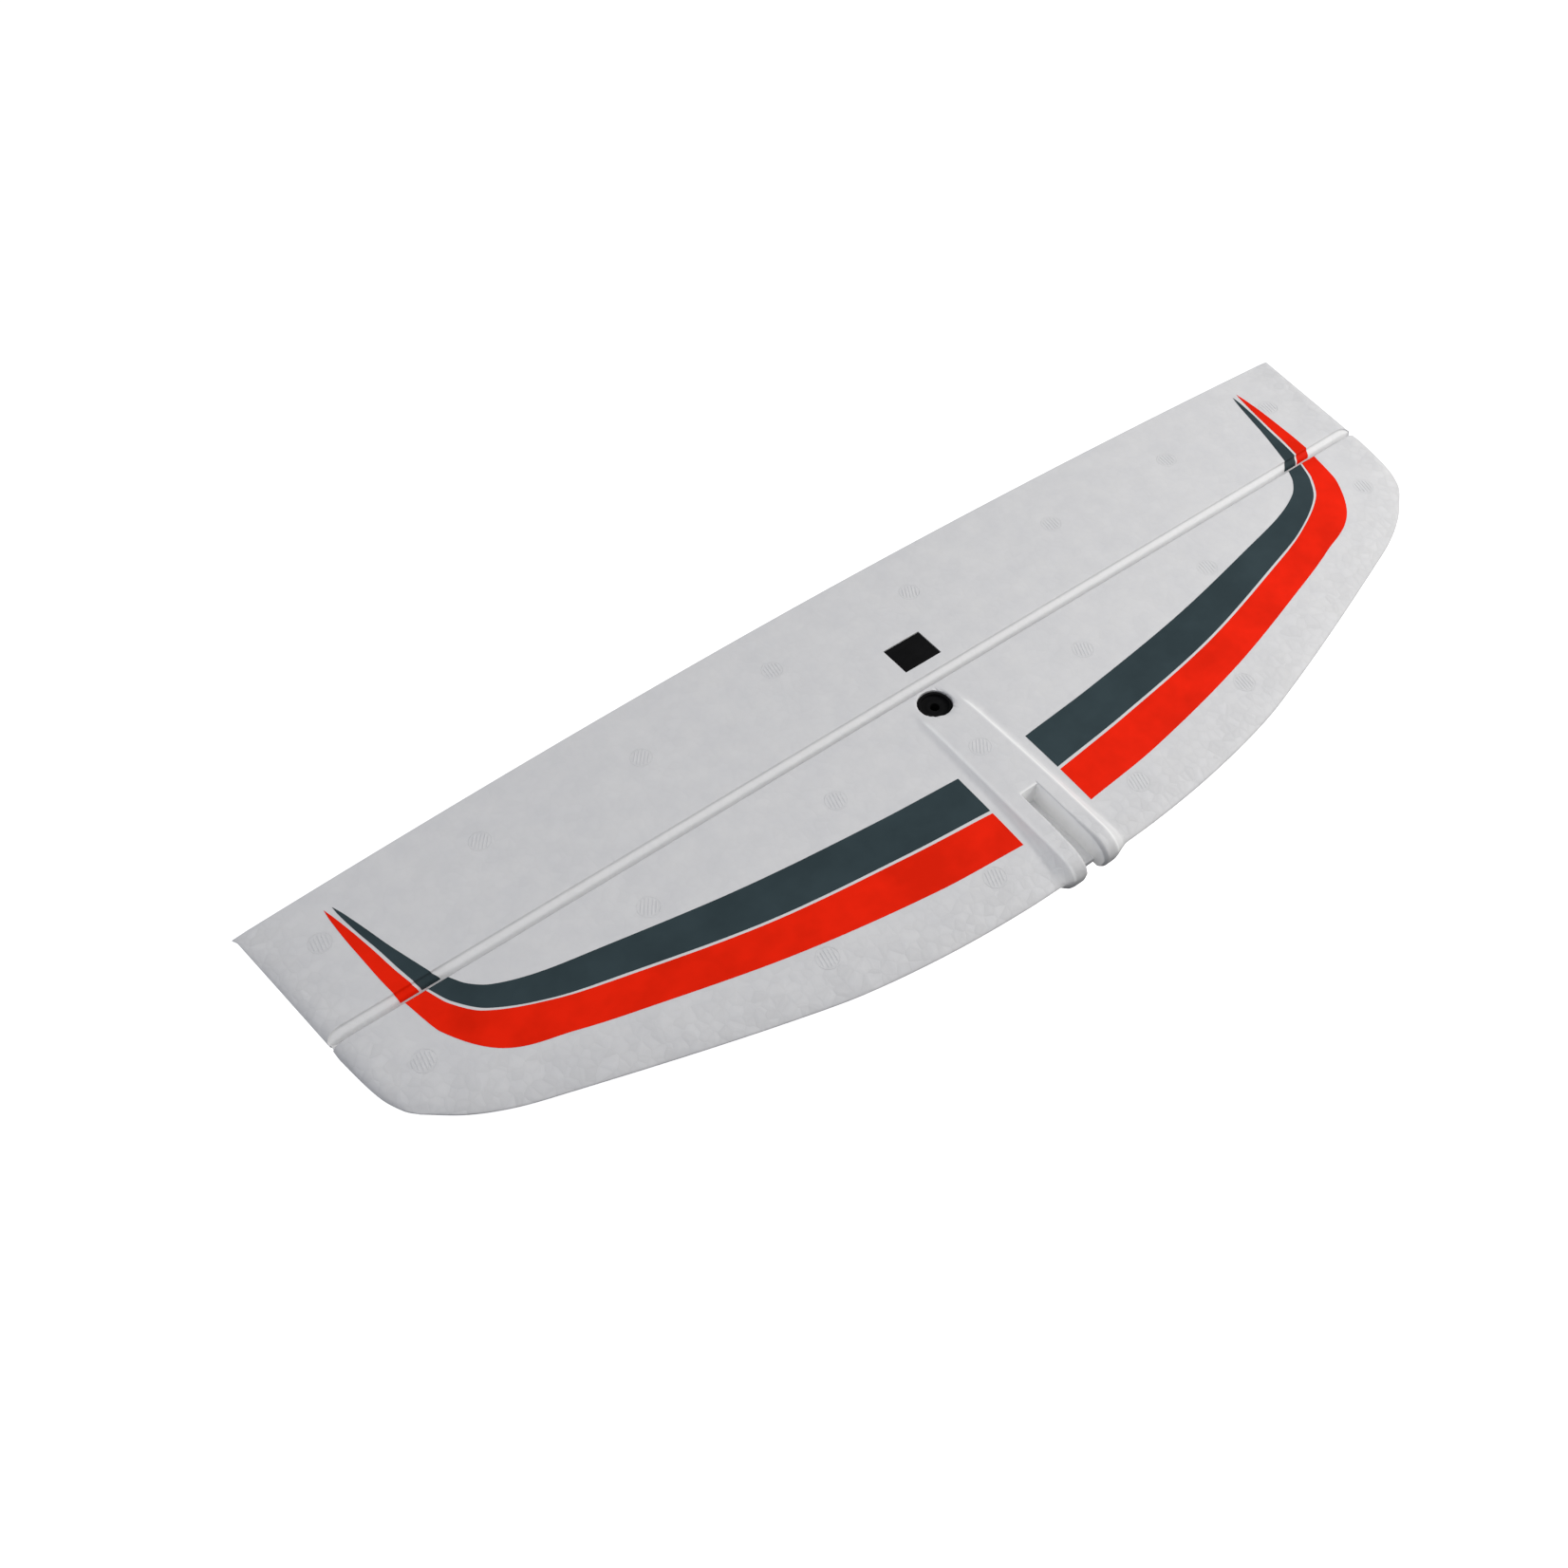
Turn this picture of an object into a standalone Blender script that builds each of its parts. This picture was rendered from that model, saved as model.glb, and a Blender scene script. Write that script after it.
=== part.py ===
"""Foam tailplane of a radio-controlled motor glider: stabiliser, hinged elevator and fittings.

+X is to the right, +Y aft, +Z up, in metres. The origin is on the flat saddle face
under the centre hub, between the fin slot and the mounting screw.
"""
import math

import bmesh
import bpy
from mathutils import Vector

MM = 0.001
GAP = 0.0003                     # clearance between pieces that touch
CUT = 0.002                      # how far a cutter runs past the face it cuts
WELD = 0.00002                   # points closer than this are one

# Planform
HALF_SPAN = 240.0 * MM           # centre line to the trailing edge's corner
STAB_CHORD = 89.5 * MM           # leading edge to the stabiliser's rear face, at the centre
ELEVATOR_CHORD = 61.8 * MM       # stabiliser's rear face to the trailing edge, at the centre
TRAILING_SWEEP = 7.3 * MM        # how far the trailing edge runs forward at the corners
SWEEP_POWER = 1.9                # how late along the span it does so
HINGE_Y = 31.5 * MM              # stabiliser's rear face, from the origin
# Leading edge: share of the half span, share of the stabiliser's chord ahead of the hinge
LEADING_EDGE = ((0.0, 1.0), (0.125, 0.994), (0.25, 0.9665), (0.375, 0.914), (0.471, 0.848),
                (0.60, 0.745), (0.754, 0.612), (0.821, 0.549), (0.875, 0.474), (0.921, 0.380))
# Tip edge: share of the stabiliser's chord ahead of the hinge, share of the half span
STAB_TIP = ((0.380, 0.921), (0.338, 0.935), (0.246, 0.951), (0.05, 0.9665), (0.0, 0.968))

# Section
THICKNESS_ROOT = 8.2 * MM
THICKNESS_TIP = 5.4 * MM
EDGE_THICKNESS = 1.3 * MM        # at the trailing edge
TIP_ROUND = 6.0 * MM             # depth of the rounded tip edge
MID_Z = 5.9 * MM                 # the section's middle plane above the saddle face

# Living hinge
WEB_WIDTH = 1.1 * MM
WEB_THICKNESS = 0.7 * MM
GROOVE_WIDTH = 4.9 * MM          # mouth of the V groove on top

# Centre hub, which stands above and below the foil
SADDLE_WIDTH = 20.8 * MM         # flat face below
RIDGE_WIDTH = 19.2 * MM          # flat top of the ridge
HUB_FOOT_WIDTH = 35.0 * MM       # where its sloping flanks reach the middle plane
HUB_SHOULDER = 0.6 * MM          # half width of the chamfer at the edges of its top
HUB_CROWN = 12.3 * MM            # top above the saddle face
HUB_TAIL_Z = 9.9 * MM            # top where it fades out at the screw cup
HUB_FALL_START = 10.0 * MM       # how far ahead of the screw its top starts to fall faster
HUB_FALL_SHARE = 0.6             # share of the crown's extra height left there
HUB_NOSE = 1.5 * MM              # how far its lobes stand ahead of the leading edge
HUB_NOSE_LENGTH = 9.0 * MM       # length of the elliptic nose
HUB_CHIN = 2.4 * MM              # how far the saddle face starts behind the nose
FOOT_SHARE = 0.06                # of the hub's height, left at the foot of its flanks
SLOT_WIDTH = 7.7 * MM
SLOT_LENGTH = 33.3 * MM          # inner end to the leading edge
SLOT_FLOOR = 2.0 * MM
NOTCH_DEPTH = 3.4 * MM           # where the slot's floor stops short of the leading edge

# Mounting screw cup
SCREW_Y = 24.0 * MM
CUP_RADIUS = 6.2 * MM
CUP_TOP = 8.7 * MM
CUP_FLOOR = 7.5 * MM
CUP_WALL = 1.0 * MM
CUP_FLANGE = 1.4 * MM
SLEEVE_RADIUS = 4.0 * MM
SCREW_HOLE_RADIUS = 1.7 * MM

# Stiffeners, flat strips set on edge in slots from below
SPAR_LENGTH = 380.0 * MM
SPAR_HEIGHT = 4.0 * MM
SPAR_Y = 4.0 * MM
SPAR_Z = 3.0 * MM
STIFFENER_LENGTH = 400.0 * MM
STIFFENER_HEIGHT = 3.0 * MM
STIFFENER_OFFSET = 7.4 * MM      # aft of the stabiliser's rear face
STIFFENER_Z = 4.4 * MM
STRIP_THICKNESS = 1.0 * MM

# Control horn and its backplate
HORN_X = 9.5 * MM
HORN_Y = 48.1 * MM
PLATE_WIDTH = 16.0 * MM
PLATE_LENGTH = 12.5 * MM
PLATE_THICKNESS = 1.3 * MM
HORN_SCREW_SPACING = 10.4 * MM
HORN_SCREW_RADIUS = 0.9 * MM
HORN_SCREW_HEAD = 1.7 * MM
HORN_SCREW_HEAD_DEPTH = 1.1 * MM
PLATE_SKIN = 0.4 * MM            # plastic left above the screws' tips
HORN_BASE_THICKNESS = 1.5 * MM
HORN_SINK = 0.75 * MM            # how far the horn's base is let into the foam
HORN_BLADE = 1.6 * MM
HORN_HEIGHT = 15.0 * MM          # base to toe
HORN_TOE_OFFSET = 5.4 * MM       # toe aft of the hinge axis
HORN_TOE_RADIUS = 3.0 * MM
HORN_HOLES = 3
HORN_HOLE_PITCH = 3.0 * MM
HORN_HOLE_RADIUS = 0.6 * MM

# Stripes: (share of the half span, share of the stabiliser's chord ahead of the hinge)
STRIPE_START = 15.4 * MM         # from the centre line, so clear of the hub
FILM = 0.12 * MM                 # vinyl thickness
GREY_REAR = ((0.064, 0.422), (0.208, 0.391), (0.417, 0.324), (0.625, 0.221), (0.708, 0.173),
             (0.762, 0.117), (0.787, 0.061), (0.8015, 0.0))
GREY_FRONT = ((0.064, 0.6065), (0.208, 0.5695), (0.417, 0.4915), (0.625, 0.3555), (0.708, 0.2905),
              (0.783, 0.1895), (0.8155, 0.089), (0.8305, 0.0))
ORANGE_REAR = ((0.064, 0.6205), (0.208, 0.5815), (0.417, 0.5025), (0.625, 0.3665), (0.708, 0.2985),
               (0.788, 0.1925), (0.8194, 0.093), (0.8341, 0.0))
ORANGE_FRONT = ((0.064, 0.793), (0.208, 0.758), (0.417, 0.659), (0.625, 0.512), (0.708, 0.444),
                (0.795, 0.353), (0.847, 0.173), (0.8640, 0.0))
# On the elevator: (share of the elevator's chord behind the groove, share of the half span)
GREY_INNER = ((0.0, 0.8154), (0.151, 0.8266), (0.345, 0.8405),
              (0.541, 0.8527), (0.736, 0.8656), (0.82, 0.8724))
GREY_OUTER = ((0.0, 0.8395), (0.151, 0.8465), (0.345, 0.8543),
              (0.541, 0.8637), (0.736, 0.872), (0.82, 0.8743))
ORANGE_INNER = ((0.0, 0.8437), (0.151, 0.8514), (0.345, 0.8592),
                (0.541, 0.868), (0.736, 0.878), (0.83, 0.8838))
ORANGE_OUTER = ((0.0, 0.8692), (0.151, 0.8737), (0.345, 0.8779),
                (0.541, 0.882), (0.736, 0.8849), (0.83, 0.8861))

# Mesh steps
SPAN_STEPS = 36
STAB_ROWS = 10
ELEVATOR_ROWS = 7
WEB_STEPS = 24
STRIPE_STEPS = 16
ELEVATOR_STRIPE_STEPS = 5
FILM_ROWS = 2
NOSE_STEPS = 8                   # of the hub's elliptic nose
TOE_STEPS = 8                    # of the control horn's round toe

FOAM = ("epo_foam", (0.80, 0.80, 0.82), 0.62)
STRIP = ("glass_fibre", (0.20, 0.20, 0.20), 0.45)
BLACK = ("black_nylon", (0.012, 0.012, 0.013), 0.42)
STEEL = ("screw_steel", (0.32, 0.32, 0.33), 0.35)
GREY = ("grey_vinyl", (0.038, 0.055, 0.062), 0.35)
ORANGE = ("orange_vinyl", (0.72, 0.045, 0.004), 0.33)


# ---------------------------------------------------------------- outlines and section

def along(points, x):
    """Smooth curve through the points, read at x: a cubic with averaged slopes."""
    count = len(points)
    slopes = []
    for i in range(count):
        low = points[max(i - 1, 0)]
        high = points[min(i + 1, count - 1)]
        slopes.append((high[1] - low[1]) / (high[0] - low[0]))
    i = 0
    rising = points[-1][0] > points[0][0]
    while i < count - 2 and (x > points[i + 1][0]) == rising and x != points[i + 1][0]:
        i += 1
    x0, y0 = points[i]
    x1, y1 = points[i + 1]
    step = x1 - x0
    t = min(max((x - x0) / step, 0.0), 1.0)
    return ((2 * t**3 - 3 * t**2 + 1) * y0 + (t**3 - 2 * t**2 + t) * step * slopes[i]
            + (3 * t**2 - 2 * t**3) * y1 + (t**3 - t**2) * step * slopes[i + 1])


CORNER_X, CORNER_AHEAD = LEADING_EDGE[-1]


def leading_y(x):
    share = min(abs(x) / HALF_SPAN, CORNER_X)
    return HINGE_Y - STAB_CHORD * along(LEADING_EDGE, share)


def trailing_y(x):
    return HINGE_Y + ELEVATOR_CHORD - TRAILING_SWEEP * (abs(x) / HALF_SPAN) ** SWEEP_POWER


def tip_x(y):
    if y <= HINGE_Y:
        ahead = min((HINGE_Y - y) / STAB_CHORD, CORNER_AHEAD)
        return HALF_SPAN * along(STAB_TIP, ahead)
    end = HINGE_Y + ELEVATOR_CHORD - TRAILING_SWEEP
    share = (y - HINGE_Y) / (end - HINGE_Y)
    start = STAB_TIP[-1][1]
    return HALF_SPAN * (start + (1.0 - start) * min(share, 1.0))


def half_thickness(x, y):
    """Symmetric foil, thinner towards the tips, with its tip edge rounded to nothing."""
    front = leading_y(x)
    share = min(max((y - front) / (trailing_y(x) - front), 0.0), 1.0)
    foil = 5.0 * (0.2969 * math.sqrt(share) - 0.126 * share - 0.3516 * share**2
                  + 0.2843 * share**3 - 0.1036 * share**4)
    taper = min(abs(x) / HALF_SPAN, 1.0)
    thickness = THICKNESS_ROOT + (THICKNESS_TIP - THICKNESS_ROOT) * taper
    inside = min(max((tip_x(y) - abs(x)) / TIP_ROUND, 0.0), 1.0)
    tip = math.sqrt(1.0 - (1.0 - inside) ** 2)
    return (foil * thickness + 0.5 * EDGE_THICKNESS * share) * tip


def top_z(x, y):
    return MID_Z + half_thickness(x, y)


# ------------------------------------------------------------------------ mesh helpers

def clear_scene():
    for old in list(bpy.data.objects):
        bpy.data.objects.remove(old, do_unlink=True)


def collection(name):
    made = bpy.data.collections.new(name)
    bpy.context.scene.collection.children.link(made)
    return made


def material(name, kind):
    label, colour, roughness = kind
    made = bpy.data.materials.new(name + "_" + label)
    made.use_nodes = True
    shader = made.node_tree.nodes["Principled BSDF"]
    shader.inputs["Base Color"].default_value = (*colour, 1.0)
    shader.inputs["Roughness"].default_value = roughness
    shader.inputs["Metallic"].default_value = 1.0 if kind is STEEL else 0.0
    return made


def add_mesh(name, mesh, home, kind=None):
    made = bpy.data.objects.new(name, mesh)
    home.objects.link(made)
    if kind:
        mesh.materials.append(material(name, kind))
    return made


def from_bmesh(name, shape, home, kind=None):
    bmesh.ops.recalc_face_normals(shape, faces=shape.faces)
    mesh = bpy.data.meshes.new(name)
    shape.to_mesh(mesh)
    shape.free()
    return add_mesh(name, mesh, home, kind)


def box(name, low, high, home, kind=None):
    shape = bmesh.new()
    bmesh.ops.create_cube(shape, size=1.0)
    size = Vector(high) - Vector(low)
    middle = (Vector(high) + Vector(low)) / 2
    for vertex in shape.verts:
        vertex.co = vertex.co * size + middle
    return from_bmesh(name, shape, home, kind)


def plate(name, centre, size, tilt, home, kind=None):
    """Box about its centre, tilted about X to lie on the foam's slope."""
    half = Vector(size) / 2
    made = box(name, -half, half, home, kind)
    made.location = centre
    made.rotation_euler.x = tilt
    return made


def cylinder(name, radius, low, high, home, kind=None, segments=32):
    """Upright cylinder between the centres of its two ends, which share one axis."""
    shape = bmesh.new()
    axis = Vector(high) - Vector(low)
    bmesh.ops.create_cone(shape, cap_ends=True, segments=segments, radius1=radius, radius2=radius,
                          depth=axis.length)
    turn = Vector((0, 0, 1)).rotation_difference(axis).to_matrix()
    bmesh.ops.rotate(shape, verts=shape.verts, matrix=turn)
    bmesh.ops.translate(shape, verts=shape.verts, vec=(Vector(low) + Vector(high)) / 2)
    return from_bmesh(name, shape, home, kind)


def turned(name, profile, place, home, kind, segments=40):
    """Piece turned about an upright axis; the profile runs from the top down its outer side.

    A profile that starts off the axis is a ring and is closed to its first point.
    """
    mesh = bpy.data.meshes.new(name)
    edges = [(i, i + 1) for i in range(len(profile) - 1)]
    if profile[0][0] > 0.0:
        edges.append((len(profile) - 1, 0))
    mesh.from_pydata([(radius, 0.0, z) for radius, z in profile], edges, [])
    made = add_mesh(name, mesh, home, kind)
    made.location = place
    screw = made.modifiers.new("turn", "SCREW")
    screw.steps = segments
    screw.render_steps = segments
    screw.use_merge_vertices = True
    screw.merge_threshold = WELD / 2
    return made


def outline(name, points, thickness, home, kind=None):
    """Flat outline in Y and Z, thickened along X, made a mesh."""
    curve = bpy.data.curves.new(name, "CURVE")
    curve.dimensions = "2D"
    curve.fill_mode = "BOTH"
    curve.extrude = thickness / 2
    spline = curve.splines.new("POLY")
    spline.points.add(len(points) - 1)
    for point, (y, z) in zip(spline.points, points):
        point.co = (y, z, 0.0, 1.0)
    spline.use_cyclic_u = True
    guide = bpy.data.objects.new(name + "_outline", curve)
    home.objects.link(guide)
    guide.rotation_euler = (math.pi / 2, 0.0, math.pi / 2)
    bpy.context.view_layer.update()
    ready = guide.evaluated_get(bpy.context.evaluated_depsgraph_get())
    mesh = bpy.data.meshes.new_from_object(ready)
    mesh.transform(guide.matrix_world)
    bpy.data.objects.remove(guide, do_unlink=True)
    shape = bmesh.new()
    shape.from_mesh(mesh)
    bpy.data.meshes.remove(mesh)
    bmesh.ops.remove_doubles(shape, verts=shape.verts, dist=WELD / 20)
    bmesh.ops.dissolve_limit(shape, angle_limit=math.radians(1.0), verts=shape.verts,
                             edges=shape.edges)
    return from_bmesh(name, shape, home, kind)


def combine(target, tool, operation):
    """Live Boolean with one cutter or one added form, which is kept out of the parts."""
    tool.hide_render = True
    tool.display_type = "WIRE"
    step = target.modifiers.new(operation.lower() + "_" + tool.name, "BOOLEAN")
    step.operation = operation
    step.object = tool
    step.solver = "EXACT"


def loft(name, rings, home, kind, caps=False):
    """Body through rings of equal length; its end rings are capped, or already close to a line."""
    shape = bmesh.new()
    rows = [[shape.verts.new(point) for point in ring] for ring in rings]
    count = len(rings[0])
    for near, far in zip(rows, rows[1:]):
        for i in range(count):
            j = (i + 1) % count
            shape.faces.new((near[i], near[j], far[j], far[i]))
    if caps:
        shape.faces.new(rows[0])
        shape.faces.new(rows[-1])
    bmesh.ops.remove_doubles(shape, verts=shape.verts, dist=WELD)
    bmesh.ops.dissolve_degenerate(shape, edges=shape.edges, dist=WELD / 2)
    loose = [vertex for vertex in shape.verts if not vertex.link_faces]
    bmesh.ops.delete(shape, geom=loose, context="VERTS")
    bmesh.ops.triangulate(shape, faces=shape.faces)
    return from_bmesh(name, shape, home, kind)


def spread(count):
    """Shares from -1 to 1, closer together towards both tips."""
    return [math.sin(math.pi / 2 * (2.0 * i / count - 1.0)) for i in range(count + 1)]


# ------------------------------------------------------------------------------- foam

def stab_point(u, v):
    """Patch between hinge line, leading edge, centre line and tip edge: v is 1 at the front."""
    side = -1.0 if u < 0 else 1.0
    u = abs(u)
    corner = Vector((HALF_SPAN * CORNER_X, HINGE_Y - STAB_CHORD * CORNER_AHEAD))
    front = Vector((corner.x * u, leading_y(corner.x * u)))
    hinge_tip = Vector((tip_x(HINGE_Y), HINGE_Y))
    rear = Vector((hinge_tip.x * u, HINGE_Y))
    centre_front = Vector((0.0, leading_y(0.0)))
    centre = Vector((0.0, HINGE_Y)).lerp(centre_front, v)
    tip_y = HINGE_Y + (corner.y - HINGE_Y) * v
    tip = Vector((tip_x(tip_y), tip_y))
    flat = ((1 - v) * rear + v * front + (1 - u) * centre + u * tip
            - (1 - u) * (1 - v) * Vector((0.0, HINGE_Y)) - u * (1 - v) * hinge_tip
            - (1 - u) * v * centre_front - u * v * corner)
    return side * flat.x, flat.y


def make_stabilizer(parts, cutters):
    rows = [math.sin(math.pi / 2 * i / STAB_ROWS) for i in range(STAB_ROWS + 1)]
    rings = []
    for u in spread(SPAN_STEPS):
        top = []
        bottom = []
        for v in rows:
            x, y = stab_point(u, v)
            half = half_thickness(x, y) if v < 1.0 and abs(u) < 1.0 else 0.0
            top.append((x, y, MID_Z + half))
            bottom.append((x, y, MID_Z - half))
        rings.append(top + bottom[-2::-1])
    foam = loft("stabilizer_foam", rings, parts, FOAM)
    combine(foam, make_hub(cutters), "UNION")
    nose = leading_y(0.0)
    slot = box("fin_slot", (-SLOT_WIDTH / 2, nose - HUB_NOSE - CUT, SLOT_FLOOR),
               (SLOT_WIDTH / 2, nose + SLOT_LENGTH, HUB_CROWN + CUT), cutters)
    combine(foam, slot, "DIFFERENCE")
    notch = box("slot_notch", (-SLOT_WIDTH / 2, nose - HUB_NOSE - CUT, -CUT),
                (SLOT_WIDTH / 2, nose + NOTCH_DEPTH, SLOT_FLOOR + CUT), cutters)
    combine(foam, notch, "DIFFERENCE")
    well = cylinder("cup_well", CUP_RADIUS + GAP, (0, SCREW_Y, CUP_FLOOR - CUP_FLANGE - GAP),
                    (0, SCREW_Y, HUB_CROWN + CUT), cutters)
    combine(foam, well, "DIFFERENCE")
    bore = cylinder("sleeve_bore", SLEEVE_RADIUS + GAP, (0, SCREW_Y, -CUT),
                    (0, SCREW_Y, CUP_FLOOR - CUP_FLANGE), cutters)
    combine(foam, bore, "DIFFERENCE")
    half = STRIP_THICKNESS / 2 + GAP
    underside = MID_Z - half_thickness(0.0, SPAR_Y)
    channel = box("spar_slot", (-SPAR_LENGTH / 2 - GAP, SPAR_Y - half, underside - GAP),
                  (SPAR_LENGTH / 2 + GAP, SPAR_Y + half, SPAR_Z + SPAR_HEIGHT + GAP), cutters)
    combine(foam, channel, "DIFFERENCE")
    box("tail_spar", (-SPAR_LENGTH / 2, SPAR_Y - STRIP_THICKNESS / 2, SPAR_Z),
        (SPAR_LENGTH / 2, SPAR_Y + STRIP_THICKNESS / 2, SPAR_Z + SPAR_HEIGHT), parts, STRIP)


def make_hub(cutters):
    """Ridge above and saddle below, lofted across the span: sloping flanks and a round nose."""
    nose = leading_y(0.0) - HUB_NOSE
    tail = SCREW_Y + CUP_RADIUS
    fall_z = HUB_TAIL_Z + HUB_FALL_SHARE * (HUB_CROWN - HUB_TAIL_Z)
    side = [(nose + HUB_CHIN, 0.0), (tail, 0.0), (tail, MID_Z),
            (SCREW_Y - CUP_RADIUS / 3, HUB_TAIL_Z), (SCREW_Y - HUB_FALL_START, fall_z),
            (nose + SLOT_LENGTH, HUB_CROWN)]
    for i in range(NOSE_STEPS + 1):
        angle = math.pi / 2 * (1 + i / NOSE_STEPS)
        side.append((nose + HUB_NOSE_LENGTH * (1 + math.cos(angle)),
                     MID_Z + (HUB_CROWN - MID_Z) * math.sin(angle)))
    foot = HUB_FOOT_WIDTH / 2
    ridge = RIDGE_WIDTH / 2
    saddle = SADDLE_WIDTH / 2
    below = 1.0 - (1.0 - FOOT_SHARE) * HUB_SHOULDER / (foot - ridge)
    stations = [(foot, foot, FOOT_SHARE),
                (ridge + HUB_SHOULDER, saddle + HUB_SHOULDER, below),
                (ridge - HUB_SHOULDER, saddle - HUB_SHOULDER, 1.0)]
    stations = [(-top, -low, share) for top, low, share in stations] + stations[::-1]
    rings = []
    for top, low, share in stations:
        front = leading_y(foot) if abs(top) == foot else nose
        rings.append([(low if z < MID_Z else top, max(y, front), MID_Z + (z - MID_Z) * share)
                      for y, z in side])
    return loft("hub_form", rings, cutters, None, caps=True)


def make_elevator(parts, cutters):
    foot = HINGE_Y + WEB_WIDTH + 2 * GAP
    mouth = HINGE_Y + GROOVE_WIDTH
    end_y = trailing_y(HALF_SPAN)
    rings = []
    for u in spread(SPAN_STEPS):
        at_tip = abs(u) >= 1.0
        top = []
        bottom = []
        for front, row, sign in ((mouth, top, 1.0), (foot, bottom, -1.0)):
            front = (mouth + foot) / 2 if at_tip else front
            for i in range(ELEVATOR_ROWS + 1):
                share = i / ELEVATOR_ROWS
                x = tip_x(front + (end_y - front) * share) * u
                y = front + (trailing_y(x) - front) * share
                half = 0.0 if at_tip else half_thickness(x, y)
                row.append((x, y, MID_Z + sign * half))
        rings.append(top + bottom[::-1])
    foam = loft("elevator_foam", rings, parts, FOAM)

    for cut in horn_pockets(cutters):
        combine(foam, cut, "DIFFERENCE")
    half = STRIP_THICKNESS / 2 + GAP
    strip_y = HINGE_Y + STIFFENER_OFFSET
    reach = STIFFENER_LENGTH / 2
    top = STIFFENER_Z + STIFFENER_HEIGHT
    channel = box("stiffener_slot", (-reach - GAP, strip_y - half, 0.0),
                  (reach + GAP, strip_y + half, top + GAP), cutters)
    combine(foam, channel, "DIFFERENCE")
    box("elevator_stiffener", (-reach, strip_y - STRIP_THICKNESS / 2, STIFFENER_Z),
        (reach, strip_y + STRIP_THICKNESS / 2, top), parts, STRIP)


def make_web(parts):
    """Thin web between the two panels along the underside; it follows the taper."""
    front = HINGE_Y + GAP
    rear = front + WEB_WIDTH
    end = tip_x(HINGE_Y) - TIP_ROUND
    rings = []
    for i in range(WEB_STEPS + 1):
        x = end * (2.0 * i / WEB_STEPS - 1.0)
        low = MID_Z - half_thickness(x, (front + rear) / 2)
        high = low + WEB_THICKNESS
        rings.append(((x, front, low), (x, rear, low), (x, rear, high), (x, front, high)))
    shape = bmesh.new()
    rows = [[shape.verts.new(point) for point in ring] for ring in rings]
    for near, far in zip(rows, rows[1:]):
        for i in range(4):
            j = (i + 1) % 4
            shape.faces.new((near[i], near[j], far[j], far[i]))
    shape.faces.new(rows[0])
    shape.faces.new(rows[-1])
    from_bmesh("hinge_web", shape, parts, FOAM)


# --------------------------------------------------------------------------- fittings

def make_screw_cup(parts):
    profile = [(CUP_RADIUS, CUP_TOP), (CUP_RADIUS, CUP_FLOOR - CUP_FLANGE),
               (SLEEVE_RADIUS, CUP_FLOOR - CUP_FLANGE), (SLEEVE_RADIUS, 0.0),
               (SCREW_HOLE_RADIUS, 0.0), (SCREW_HOLE_RADIUS, CUP_FLOOR),
               (CUP_RADIUS - CUP_WALL, CUP_FLOOR), (CUP_RADIUS - CUP_WALL, CUP_TOP)]
    turned("screw_cup", profile, (0, SCREW_Y, 0), parts, BLACK)


def horn_place():
    """Height of the foam above and below the horn, and the slope of its top face."""
    surface = top_z(HORN_X, HORN_Y)
    reach = PLATE_LENGTH / 2
    slope = math.atan2(top_z(HORN_X, HORN_Y + reach) - top_z(HORN_X, HORN_Y - reach), PLATE_LENGTH)
    return surface, 2 * MID_Z - surface, slope


def horn_screw_x():
    return [HORN_X + side * HORN_SCREW_SPACING / 2 for side in (-1, 1)]


def horn_pockets(cutters):
    """Shallow pockets above and below for the two plates, and the screws' holes."""
    surface, under, slope = horn_place()
    size = (PLATE_WIDTH + 2 * GAP, PLATE_LENGTH + 2 * GAP)
    depth = PLATE_THICKNESS + GAP + CUT
    cuts = [plate("plate_pocket", (HORN_X, HORN_Y, surface - PLATE_THICKNESS - GAP + depth / 2),
                  (*size, depth), slope, cutters)]
    sunk = HORN_SINK + GAP + CUT
    cuts.append(plate("horn_pocket", (HORN_X, HORN_Y, under + HORN_SINK + GAP - sunk / 2),
                      (*size, sunk), -slope, cutters))
    for i, x in enumerate(horn_screw_x()):
        cuts.append(cylinder("foam_screw_hole_%d" % i, HORN_SCREW_RADIUS + GAP, (x, HORN_Y, 0.0),
                             (x, HORN_Y, HUB_CROWN), cutters, segments=12))
    return cuts


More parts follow.
